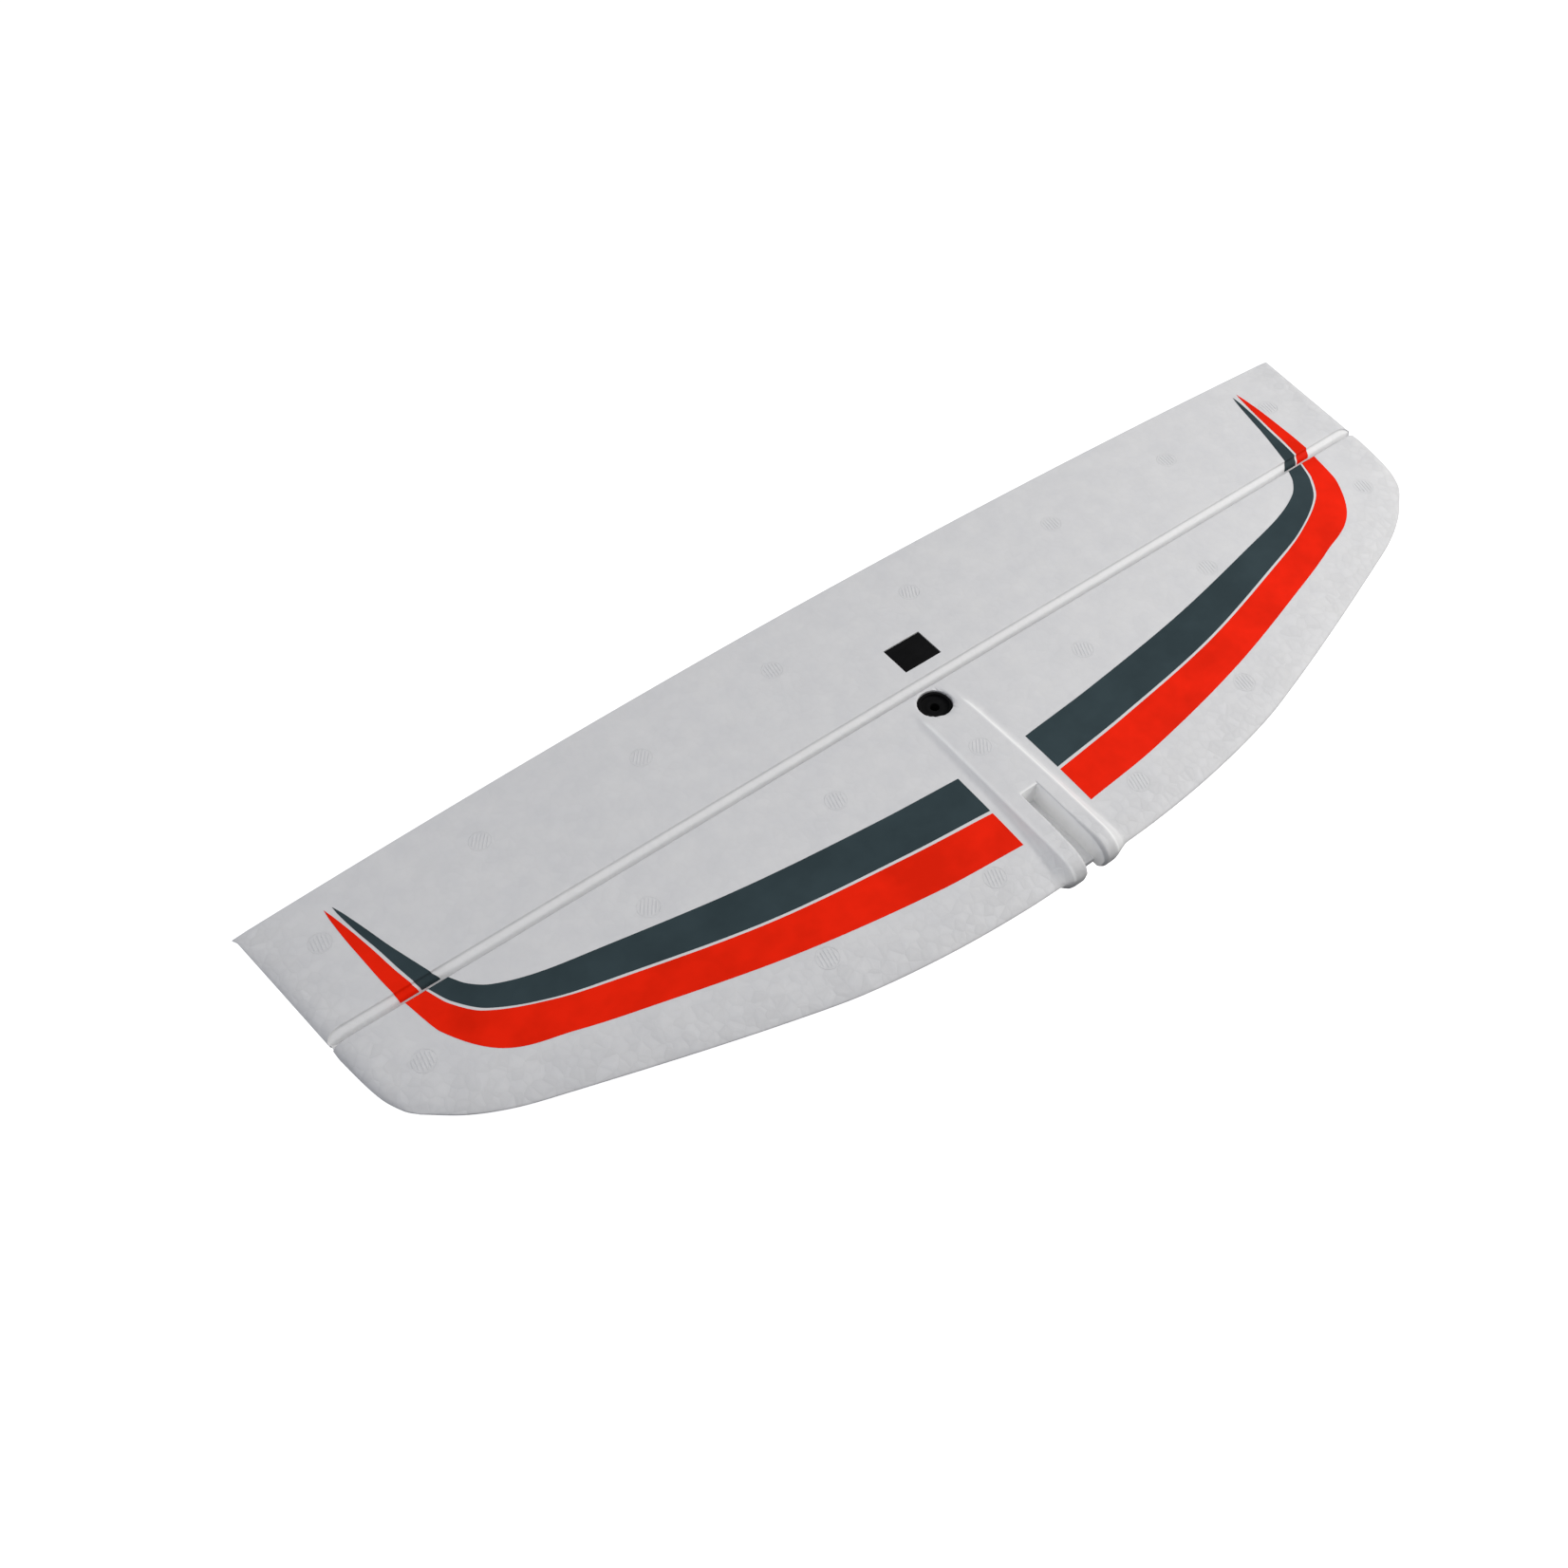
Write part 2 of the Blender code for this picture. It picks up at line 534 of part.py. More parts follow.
def make_horn(parts, cutters):
    surface, under, slope = horn_place()
    size = (PLATE_WIDTH, PLATE_LENGTH)
    backplate = plate("horn_backplate", (HORN_X, HORN_Y, surface - PLATE_THICKNESS / 2),
                      (*size, PLATE_THICKNESS), slope, parts, BLACK)
    base_top = under + HORN_SINK
    base_low = base_top - HORN_BASE_THICKNESS
    horn = plate("control_horn", (HORN_X, HORN_Y, (base_top + base_low) / 2),
                 (*size, HORN_BASE_THICKNESS), -slope, parts, BLACK)

    tip = base_low - HORN_HEIGHT
    toe_y = HINGE_Y + GAP + WEB_WIDTH / 2 + HORN_TOE_OFFSET
    toe_z = tip + HORN_TOE_RADIUS
    sink = (base_low + base_top) / 2
    front = HORN_Y - PLATE_LENGTH / 2 + HORN_BLADE / 2
    back = HORN_Y + PLATE_LENGTH / 2 - HORN_BLADE / 2
    points = [(front, sink), (front, base_low - HORN_BLADE / 2)]
    for i in range(TOE_STEPS + 1):
        angle = math.pi * (1 + i / TOE_STEPS)
        points.append((toe_y + HORN_TOE_RADIUS * math.cos(angle),
                       toe_z + HORN_TOE_RADIUS * math.sin(angle)))
    points.extend([(back, base_low - HORN_BLADE / 2), (back, sink)])
    blade = outline("horn_blade", points, HORN_BLADE, cutters)
    blade.location.x = HORN_X
    combine(horn, blade, "UNION")
    lean = (HORN_Y - toe_y) / (base_low - toe_z)
    for i in range(HORN_HOLES):
        y = toe_y + i * HORN_HOLE_PITCH * lean
        z = toe_z + i * HORN_HOLE_PITCH
        hole = cylinder("link_hole_%d" % i, HORN_HOLE_RADIUS, (HORN_X - HORN_BLADE, y, z),
                        (HORN_X + HORN_BLADE, y, z), cutters, segments=12)
        combine(horn, hole, "DIFFERENCE")

    screw_top = surface - PLATE_SKIN - GAP
    for i, x in enumerate(horn_screw_x()):
        hole = cylinder("plate_screw_hole_%d" % i, HORN_SCREW_RADIUS + GAP,
                        (x, HORN_Y, base_low - CUT), (x, HORN_Y, screw_top + GAP),
                        cutters, segments=12)
        combine(backplate, hole, "DIFFERENCE")
        combine(horn, hole, "DIFFERENCE")
    head = base_low - 2 * GAP
    end = head - HORN_SCREW_HEAD_DEPTH
    profile = [(0.0, screw_top), (HORN_SCREW_RADIUS, screw_top), (HORN_SCREW_RADIUS, head),
               (HORN_SCREW_HEAD, head), (HORN_SCREW_HEAD, (head + end) / 2),
               (HORN_SCREW_HEAD / 2, end), (0.0, end)]
    for label, x in zip(("left", "right"), horn_screw_x()):
        turned("horn_screw_" + label, profile, (x, HORN_Y, 0.0), parts, STEEL, segments=12)


# ---------------------------------------------------------------------------- stripes

def film(name, edge_a, edge_b, parts, kind):
    """Vinyl film between two edges, each a list of (x, y), laid just above the foam."""
    shape = bmesh.new()
    rows = []
    for (ax, ay), (bx, by) in zip(edge_a, edge_b):
        row = []
        for i in range(FILM_ROWS + 1):
            share = i / FILM_ROWS
            x = ax + (bx - ax) * share
            y = ay + (by - ay) * share
            row.append(shape.verts.new((x, y, top_z(x, y) + GAP)))
        rows.append(row)
    for near, far in zip(rows, rows[1:]):
        for i in range(FILM_ROWS):
            shape.faces.new((near[i], near[i + 1], far[i + 1], far[i]))
    shape.faces.ensure_lookup_table()
    shape.normal_update()
    if shape.faces[0].normal.z < 0.0:
        bmesh.ops.reverse_faces(shape, faces=shape.faces)
    mesh = bpy.data.meshes.new(name)
    shape.to_mesh(mesh)
    shape.free()
    made = add_mesh(name, mesh, parts, kind)
    skin = made.modifiers.new("film", "SOLIDIFY")
    skin.thickness = FILM
    skin.offset = 1.0


def stab_edge(points, side):
    """Stripe edge on the stabiliser, sampled closer together where it turns aft."""
    start = STRIPE_START / HALF_SPAN
    end = points[-1][0]
    edge = []
    for i in range(STRIPE_STEPS + 1):
        share = start + (end - start) * math.sin(math.pi / 2 * i / STRIPE_STEPS)
        edge.append((side * share * HALF_SPAN, HINGE_Y - STAB_CHORD * along(points, share)))
    edge[-1] = (edge[-1][0], HINGE_Y - GAP)
    return edge


def elevator_edge(points, side):
    mouth = HINGE_Y + GROOVE_WIDTH
    chord = trailing_y(HALF_SPAN) - mouth
    edge = []
    for i in range(ELEVATOR_STRIPE_STEPS + 1):
        share = points[-1][0] * i / ELEVATOR_STRIPE_STEPS
        edge.append((side * HALF_SPAN * along(points, share), mouth + GAP + chord * share))
    return edge


def make_stripes(parts):
    for label, side in (("left", -1), ("right", 1)):
        film("grey_stripe_" + label, stab_edge(GREY_REAR, side), stab_edge(GREY_FRONT, side),
             parts, GREY)
        film("orange_stripe_" + label, stab_edge(ORANGE_REAR, side), stab_edge(ORANGE_FRONT, side),
             parts, ORANGE)
        film("grey_point_" + label, elevator_edge(GREY_INNER, side),
             elevator_edge(GREY_OUTER, side), parts, GREY)
        film("orange_point_" + label, elevator_edge(ORANGE_INNER, side),
             elevator_edge(ORANGE_OUTER, side), parts, ORANGE)


clear_scene()
tailplane = collection("foam_tailplane")
forms = collection("cutters")
make_stabilizer(tailplane, forms)
make_elevator(tailplane, forms)
make_web(tailplane)
make_screw_cup(tailplane)
make_horn(tailplane, forms)
make_stripes(tailplane)
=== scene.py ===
import math
import bpy
import bmesh
import numpy as np
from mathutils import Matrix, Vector


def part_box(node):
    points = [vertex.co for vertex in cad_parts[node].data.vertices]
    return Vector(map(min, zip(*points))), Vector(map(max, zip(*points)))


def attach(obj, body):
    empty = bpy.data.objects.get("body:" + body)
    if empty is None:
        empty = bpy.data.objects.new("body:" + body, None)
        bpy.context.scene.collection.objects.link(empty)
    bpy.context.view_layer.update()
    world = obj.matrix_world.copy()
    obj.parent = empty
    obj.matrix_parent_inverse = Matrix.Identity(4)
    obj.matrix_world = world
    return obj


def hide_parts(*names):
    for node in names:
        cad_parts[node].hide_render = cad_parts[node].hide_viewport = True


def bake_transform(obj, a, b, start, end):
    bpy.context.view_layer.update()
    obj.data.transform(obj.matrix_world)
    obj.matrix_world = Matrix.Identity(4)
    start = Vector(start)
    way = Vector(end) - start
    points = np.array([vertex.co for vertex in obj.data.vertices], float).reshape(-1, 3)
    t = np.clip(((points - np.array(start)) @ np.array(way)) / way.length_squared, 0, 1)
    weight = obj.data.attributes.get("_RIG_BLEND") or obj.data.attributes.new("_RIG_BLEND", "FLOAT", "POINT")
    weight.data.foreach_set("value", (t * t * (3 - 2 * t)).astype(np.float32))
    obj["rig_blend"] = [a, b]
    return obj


# Foam tailplane of a motor glider: fine moulded panels, vinyl bands and fittings
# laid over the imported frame. Lengths in the dictionaries are millimetres.

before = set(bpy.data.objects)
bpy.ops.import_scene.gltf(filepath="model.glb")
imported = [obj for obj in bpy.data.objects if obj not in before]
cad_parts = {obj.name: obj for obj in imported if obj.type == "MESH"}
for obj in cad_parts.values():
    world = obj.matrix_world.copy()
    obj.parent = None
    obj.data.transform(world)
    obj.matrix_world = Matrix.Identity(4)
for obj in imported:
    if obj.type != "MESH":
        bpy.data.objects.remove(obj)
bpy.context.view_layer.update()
mm = 0.001

stabLow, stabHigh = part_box("stabilizer_foam")
elevLow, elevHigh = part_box("elevator_foam")
cupLow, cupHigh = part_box("screw_cup")
plateLow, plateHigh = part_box("horn_backplate")

planform = dict(
    noseAhead=1.5,          # the hub's nose ahead of the leading edge
    trailingSweep=7.3,
    trailingPower=1.9,
    leading=((0.0, 1.0), (0.125, 0.994), (0.25, 0.9665), (0.375, 0.914), (0.471, 0.848),
             (0.60, 0.745), (0.754, 0.612), (0.821, 0.549), (0.875, 0.474), (0.921, 0.380)),
    tip=((0.0, 0.968), (0.05, 0.9665), (0.246, 0.951), (0.338, 0.935), (0.380, 0.921)),
)
section = dict(rootThick=8.2, tipThick=5.4, edgeThick=1.3, tipRound=6.0, midHeight=5.9)

hingeY = stabHigh.y / mm
halfSpan = elevHigh.x / mm
stabChord = hingeY - (stabLow.y / mm + planform["noseAhead"])
elevChord = elevHigh.y / mm - hingeY
midZ = section["midHeight"]
cornerX, cornerAhead = planform["leading"][-1]


# ---- outline and section of the moulding

def curveThrough(points, at):
    # cubic between neighbouring points, with each point's slope the mean of its two sides
    px, py = np.array(points, float).T
    slope = np.empty_like(py)
    slope[1:-1] = (py[2:] - py[:-2]) / (px[2:] - px[:-2])
    slope[0] = (py[1] - py[0]) / (px[1] - px[0])
    slope[-1] = (py[-1] - py[-2]) / (px[-1] - px[-2])
    i = np.clip(np.searchsorted(px, at, side="right") - 1, 0, len(px) - 2)
    step = px[i + 1] - px[i]
    t = np.clip((at - px[i]) / step, 0, 1)
    return ((2 * t**3 - 3 * t**2 + 1) * py[i] + (t**3 - 2 * t**2 + t) * step * slope[i]
            + (3 * t**2 - 2 * t**3) * py[i + 1] + (t**3 - t**2) * step * slope[i + 1])


def leadingY(x):
    share = np.minimum(np.abs(x) / halfSpan, cornerX)
    return hingeY - stabChord * curveThrough(planform["leading"], share)


def trailingY(x):
    return hingeY + elevChord - planform["trailingSweep"] * (np.abs(x) / halfSpan) ** planform["trailingPower"]


def tipX(y):
    ahead = np.clip((hingeY - y) / stabChord, 0, cornerAhead)
    front = curveThrough(planform["tip"], ahead)
    end = elevChord - planform["trailingSweep"]
    share = np.clip((y - hingeY) / end, 0, 1)
    rear = planform["tip"][0][1] + (1 - planform["tip"][0][1]) * share
    return halfSpan * np.where(y <= hingeY, front, rear)


def halfThickness(x, y):
    # symmetric foil of four-term thickness, thinner towards the tips, and a quarter-round tip edge
    front = leadingY(x)
    share = np.clip((y - front) / (trailingY(x) - front), 0, 1)
    foil = 5 * (0.2969 * np.sqrt(share) - 0.126 * share - 0.3516 * share**2
                + 0.2843 * share**3 - 0.1036 * share**4)
    taper = np.minimum(np.abs(x) / halfSpan, 1)
    thick = section["rootThick"] + (section["tipThick"] - section["rootThick"]) * taper
    inside = np.clip((tipX(y) - np.abs(x)) / section["tipRound"], 0, 1)
    return (foil * thick + 0.5 * section["edgeThick"] * share) * np.sqrt(1 - (1 - inside) ** 2)


def smoothStep(low, high, value):
    # 0 at low and 1 at high, level at both ends; low may be the larger one
    t = np.clip((value - low) / (high - low), 0, 1)
    return t * t * (3 - 2 * t)


def smoothMax(a, b, width):
    # the larger of the two, with a fillet of about that width where they meet
    near = np.maximum(width - np.abs(a - b), 0) / width
    return np.maximum(a, b) + near * near * width / 4


skinRelief = dict(
    ripple=0.028,           # slow unevenness of the moulded skin
    dimple=0.020,           # one bead's sink, between its neighbours
    bead=3.6,
    dents=((-12.5, 25.5, 3.2, 0.16), (-7.0, 31.0, 2.6, 0.12), (4.5, 33.0, 2.2, 0.10),
           (-16.0, 21.0, 2.8, 0.08), (9.5, 30.5, 2.4, 0.08)),
)


def skin(x, y):
    # sum of four slanted waves, a soft bead-sized dimple pattern, and a few dents by the screw
    waves = (np.sin(x / 3.1 + 1.7 * np.sin(y / 7.3)) * np.cos(y / 2.7 + 1.3 * np.sin(x / 9.1))
             + 0.7 * np.sin(x / 5.3 - y / 4.1 + 0.8) + 0.5 * np.sin(x / 11.7 + y / 8.3)
             + 0.6 * np.sin(x / 2.3 + y / 1.9 + 2.1 * np.sin(x / 17.0)))
    pitch = 2 * math.pi / skinRelief["bead"]
    beads = np.cos(pitch * x + 1.1 * np.sin(y / 5.1)) * np.cos(pitch * 1.1 * y + 1.3 * np.sin(x / 6.3))
    z = skinRelief["ripple"] * waves * 0.4 + skinRelief["dimple"] * beads
    for cx, cy, wide, deep in skinRelief["dents"]:
        z = z - deep * np.exp(-((x - cx) ** 2 + (y - cy) ** 2) / wide**2)
    return z


# ---- meshes from numpy arrays

def meshFrom(name, points, faces, smooth=True, sharp=40):
    mesh = bpy.data.meshes.new(name)
    mesh.from_pydata([], [], [])
    mesh.vertices.add(len(points))
    mesh.vertices.foreach_set("co", (np.asarray(points, float) * mm).ravel())
    count = faces.shape[1]
    mesh.loops.add(faces.size)
    mesh.loops.foreach_set("vertex_index", faces.ravel().astype(np.int32))
    mesh.polygons.add(len(faces))
    mesh.polygons.foreach_set("loop_start", np.arange(0, faces.size, count, dtype=np.int32))
    mesh.update(calc_edges=True)
    mesh.validate()
    return finishMesh(name, mesh, smooth, sharp)


def finishMesh(name, mesh, smooth=True, sharp=40, merge=0.000002):
    # merges doubled points, drops faces with no area, turns faces outwards, marks sharp edges
    shape = bmesh.new()
    shape.from_mesh(mesh)
    bmesh.ops.remove_doubles(shape, verts=shape.verts, dist=merge)
    bmesh.ops.dissolve_degenerate(shape, edges=shape.edges, dist=merge)
    bmesh.ops.recalc_face_normals(shape, faces=shape.faces)
    shape.to_mesh(mesh)
    shape.free()
    mesh.polygons.foreach_set("use_smooth", [smooth] * len(mesh.polygons))
    if smooth:
        mesh.set_sharp_from_angle(angle=math.radians(sharp))
    piece = bpy.data.objects.new(name, mesh)
    bpy.context.scene.collection.objects.link(piece)
    return piece


def ringFaces(rings, count, closedRings=False):
    # quads between neighbouring rings of equal count, each ring closed on itself
    a = np.arange(rings * count).reshape(rings, count)
    if closedRings:
        a = np.vstack([a, a[:1]])
    b = np.roll(a, -1, axis=1)
    return np.stack([a[:-1], b[:-1], b[1:], a[1:]], -1).reshape(-1, 4)


def turnedPiece(name, profile, centre, around=96, sharp=35):
    # closed profile of radius and height, carried once round an upright axis
    profile = np.array(profile, float)
    angle = np.linspace(0, 2 * math.pi, around, endpoint=False)[:, None]
    x = centre[0] + profile[:, 0] * np.cos(angle)
    y = centre[1] + profile[:, 0] * np.sin(angle)
    z = centre[2] + profile[:, 1] + 0 * angle
    points = np.stack([x, y, z], -1).reshape(-1, 3)
    return meshFrom(name, points, ringFaces(around, len(profile), True), sharp=sharp)


def roundedProfile(corners, radius, steps=4):
    # closed outline with each corner cut back and rounded by a quadratic arc
    corners = np.array(corners, float)
    out = []
    for i, corner in enumerate(corners):
        before, after = corners[i - 1], corners[(i + 1) % len(corners)]
        r = radius[i] if hasattr(radius, "__len__") else radius
        if r == 0:
            out.append(corner)
            continue
        a = corner + (before - corner) / np.linalg.norm(before - corner) * r
        b = corner + (after - corner) / np.linalg.norm(after - corner) * r
        t = np.linspace(0, 1, steps + 1)[:, None]
        out.extend((1 - t) ** 2 * a + 2 * t * (1 - t) * corner + t**2 * b)
    return np.array(out)


def prism(name, flat, low, high, axis=2):
    # closed outline extruded between two heights along an axis
    flat = np.array(flat, float)
    n = len(flat)
    low3, high3 = np.insert(flat, axis, low, 1), np.insert(flat, axis, high, 1)
    mesh = bpy.data.meshes.new(name)
    sides = [(i, (i + 1) % n, (i + 1) % n + n, i + n) for i in range(n)]
    faces = [tuple(range(n)), tuple(range(n, 2 * n))] + sides
    mesh.from_pydata((np.vstack([low3, high3]) * mm).tolist(), [], faces)
    return finishMesh(name, mesh, False)


def rectangle(x0, x1, y0, y1):
    return [(x0, y0), (x1, y0), (x1, y1), (x0, y1)]


def bake(piece):
    # the piece's modifiers worked into its mesh
    bpy.context.view_layer.update()
    ready = piece.evaluated_get(bpy.context.evaluated_depsgraph_get())
    mesh = bpy.data.meshes.new_from_object(ready)
    piece.modifiers.clear()
    old = piece.data
    piece.data = mesh
    bpy.data.meshes.remove(old)


def cutAway(piece, cutters, sharp=40):
    for cutter in cutters:
        step = piece.modifiers.new("cut", "BOOLEAN")
        step.operation = "DIFFERENCE"
        step.solver = "EXACT"
        step.object = cutter
    bake(piece)
    for cutter in cutters:
        bpy.data.objects.remove(cutter, do_unlink=True)
    piece.data.polygons.foreach_set("use_smooth", [True] * len(piece.data.polygons))
    piece.data.set_sharp_from_angle(angle=math.radians(sharp))
    piece.data.update()


def paint(piece, finish):
    piece.data.materials.clear()
    piece.data.materials.append(finish)


def addCells(piece, edgeReach=26.0):
    # how clearly the beads show: 1 by the leading edge and tips, fading over the reach to the middle
    co = np.empty(len(piece.data.vertices) * 3)
    piece.data.vertices.foreach_get("co", co)
    x, y, z = co.reshape(-1, 3).T / mm
    away = np.minimum(y - leadingY(x), 1.3 * (tipX(y) - np.abs(x)))
    clear = 1 - smoothStep(3.0, edgeReach, away)
    # painted light: in the hinge groove and on the hub's shoulders the foam's colour is made whiter, as painted light
    # on the groove's shaded bevel and web and as painted highlight lines along the shoulders
    inGroove = smoothStep(-1.2, -0.2, y - hingeY) * smoothStep(0.1, -0.3, y - mouthY)
    paintedLight = inGroove * smoothStep(-0.05, -0.5, z - midZ - halfThickness(x, y))
    # painted highlight: a narrow band along each shoulder of the hub's top, with weaker painted light over the flanks
    # beyond it, ending towards the screw well
    outward = np.abs(x) - curveThrough(hub["ridgeHalf"], y)
    shoulder = np.maximum(np.exp(-((outward - 0.2) / hub["shoulderHighlightBand"]) ** 2),
                          hub["flankPaintedLight"] * smoothStep(0, 1, outward))
    shoulder = shoulder * smoothStep(0.2, 0.9, z - midZ - halfThickness(x, y)) * smoothStep(23, 17, y)
    # painted light: inside the fin slot the walls and floor take the full whitening in place of their shade
    inSlot = (np.abs(x) < hub["slotHalf"] + 0.1) * (y < hub["slotEnd"] + 0.1)
    paintedLight = np.maximum(hub["groovePaintedLight"] * paintedLight, np.maximum(shoulder, inSlot))
    for name, value in (("beadClear", clear), ("paintedLight", paintedLight)):
        layer = piece.data.attributes.new(name, "FLOAT", "POINT")
        layer.data.foreach_set("value", value.astype(np.float32))


# ---- hub: the raised ridge with the fin slot, and the flat saddle below

hub = dict(
    crown=((-50.5, 12.3), (-26.2, 12.3), (-5.0, 11.9), (14.1, 11.3), (19.0, 10.6), (22.1, 9.9),
           (25.5, 9.2), (31.5, 7.9)),
    ridgeHalf=((-60.0, 9.7), (-25.0, 9.6), (21.0, 8.9)),   # half width of its flat top
    footHalf=17.5,          # half width where its flanks reach the parting line
    saddleHalf=10.4,        # half width of the flat face below
    noseLength=9.0, noseHalf=8.0,
    chinLength=2.4,
    crownDrop=0.14,
    shoulder=0.9,           # rounding at the edges of its top
    # width of the painted highlight on the shoulders, and strength of the painted light on the flanks and in the groove
    shoulderHighlightBand=0.65, flankPaintedLight=0.45, groovePaintedLight=0.5,
    tailStart=29.2, tailEnd=30.2,
    slotHalf=3.85, slotEnd=-24.7, slotFloor=2.0, notch=3.4,
    slotRim=0.5, slotRimFront=1.5,
    wellRadius=6.5, wellRim=0.7, wellFloor=5.8, boreRadius=4.3, screwY=24.0,
)
noseY = stabLow.y / mm


def flankShare(x, flat, foot, rounding):
    # 1 on the flat top, falling straight to 0 at the foot, with a rounded corner between
    past = (np.abs(x) - flat) / (foot - flat)
    r = rounding / (foot - flat)
    fall = np.where(past < -r, 0, np.where(past > r, past, (past + r) ** 2 / (4 * r)))
    return np.clip(1 - fall, 0, 1)


def hubTop(x, y):
    # crown height along the ridge, with an elliptic nose, times the share the flank keeps
    flat = curveThrough(hub["ridgeHalf"], y)
    rise = curveThrough(hub["crown"], y) - midZ
    nose = np.clip((noseLine(x) + hub["noseLength"] - y) / hub["noseLength"], 0, 1)
    rise = rise * np.sqrt(1 - nose**2)
    crowned = rise - hub["crownDrop"] * (x / 10) ** 2
    return midZ + crowned * flankShare(x, flat, hub["footHalf"], hub["shoulder"])


def hubBottom(x, y):
    # flat saddle with sloping flanks, a short round chin and a soft step at its tail
    chin = np.clip((noseLine(x) + hub["chinLength"] - y) / hub["chinLength"], 0, 1)
    depth = midZ * np.sqrt(1 - chin**2) * (1 - smoothStep(hub["tailStart"], hub["tailEnd"], y))
    return midZ - depth * flankShare(x, hub["saddleHalf"], hub["footHalf"], hub["shoulder"])


def noseLine(x):
    # front of the hub in plan: straight, then swept back on its flanks and rounded into the slot
    out = np.abs(x)
    back = smoothStep(hub["noseHalf"], hub["footHalf"] + 1, out) * (leadingY(x) + 1 - noseY)
    corner = 0.9 * np.clip(1 - (out - hub["slotHalf"]) / 1.6, 0, 1) ** 2
    return noseY + back + np.where(out < hub["slotHalf"], 0.9, corner)


def stabFront(x):
    # the leading edge, with the hub's nose ahead of it
    return -smoothMax(-leadingY(x), -noseLine(x), 0.6) * (np.abs(x) < 25) + leadingY(x) * (np.abs(x) >= 25)


def edgeDrop(distance, radius):
    # how far a quarter-round edge has fallen at that distance from it
    inward = np.clip(1 - distance / radius, 0, 1)
    return radius * (1 - np.sqrt(1 - inward**2))


stabPanel = dict(rows=84, step=1.25, rearEdge=0.5, rearEdgeBelow=0.35, flash=0.10)


def stabTop(x, y):
    # foil and hub joined by a fillet, less the rounding of its rear edge, slot and screw well
    foil = midZ + halfThickness(x, y)
    z = smoothMax(foil + skin(x, y) * smoothStep(0, 3, y - leadingY(x)), hubTop(x, y), 1.1)
    slotX = np.maximum(np.abs(x) - hub["slotHalf"], 0)
    slotAway = np.hypot(slotX, np.maximum(y - hub["slotEnd"], 0))
    rim = hub["slotRim"] + (hub["slotRimFront"] - hub["slotRim"]) * smoothStep(-35, -56, y)
    z = z - edgeDrop(slotAway, rim) * (np.abs(x) < 12) * (y < 0)
    well = np.hypot(x, y - hub["screwY"]) - hub["wellRadius"]
    z = z - edgeDrop(np.maximum(well, 0), hub["wellRim"])
    return z - np.minimum(edgeDrop(hingeY - y, stabPanel["rearEdge"]), 0.7 * halfThickness(x, y))


def stabBottom(x, y):
    half = halfThickness(x, y)
    foil = midZ - half + np.minimum(edgeDrop(hingeY - y, stabPanel["rearEdgeBelow"]), 0.7 * half)
    ripple = skin(x + 40, y + 9) * smoothStep(0, 3, y - leadingY(x)) * smoothStep(0, 2, hingeY - y)
    return -smoothMax(-(foil + 0.6 * ripple), -hubBottom(x, y), 0.9)


def spanColumns(inner, end, step, tipSteps):
    # positions from the centre line outwards: given ones by the hub, even ones, then closer to the tip
    even = np.arange(inner[-1] + step, end - 34, step)
    left = end - even[-1]
    tip = even[-1] + left * np.sin(np.linspace(0, math.pi / 2, tipSteps + 1)[1:])
    half = np.concatenate([inner, even, tip])
    return np.concatenate([-half[:0:-1], half])


def makeStabilizer():
    # grid of span position and chord share: y runs straight from the rear face to the front line
    reach = float(tipX(np.float64(hingeY)))
    inner = np.concatenate([np.linspace(0, 3.85, 8), np.linspace(4.0, 5.4, 10), np.linspace(5.8, 8.6, 8),
                            np.linspace(8.8, 10.6, 12), np.linspace(10.9, 14.2, 11), np.linspace(14.8, 18.6, 7)])
    a = spanColumns(inner, reach, stabPanel["step"], 30)[:, None]
    pull = smoothStep(20, 140, np.abs(a))
    cornerY = hingeY - stabChord * cornerAhead
    frontX = a * (1 + (cornerX * halfSpan / reach - 1) * pull)
    frontY = stabFront(frontX)
    edge = np.array([0, 0.03, 0.08, 0.16, 0.28, 0.5, 0.9]) / stabChord
    rings = []
    v = 1 - (1 - np.linspace(0, 1, stabPanel["rows"])) ** 1.45
    v = np.concatenate([edge, v[v > 1.5 / stabChord]])[None, :]
    for height, sign in ((stabTop, 1), (stabBottom, -1)):
        scale = tipX(hingeY + v * (cornerY - hingeY)) / reach
        x = a * (1 + (scale - 1) * pull)
        y = hingeY + v * (frontY - hingeY)
        z = height(x, y)
        z[:, -1] = midZ
        z[[0, -1]] = midZ
        y[:, -1] -= stabPanel["flash"]
        x[[0, -1]] += np.sign(x[[0, -1]]) * stabPanel["flash"]
        grid = np.stack([x, y, np.maximum(z, midZ) if sign > 0 else np.minimum(z, midZ)], -1)
        rings.append(grid if sign > 0 else grid[:, -2::-1])
    ring = np.concatenate(rings, 1)
    piece = meshFrom("foamStabilizer", ring.reshape(-1, 3), ringFaces(len(a), ring.shape[1]))
    cutAway(piece, stabCutters())
    addCells(piece)
    return piece


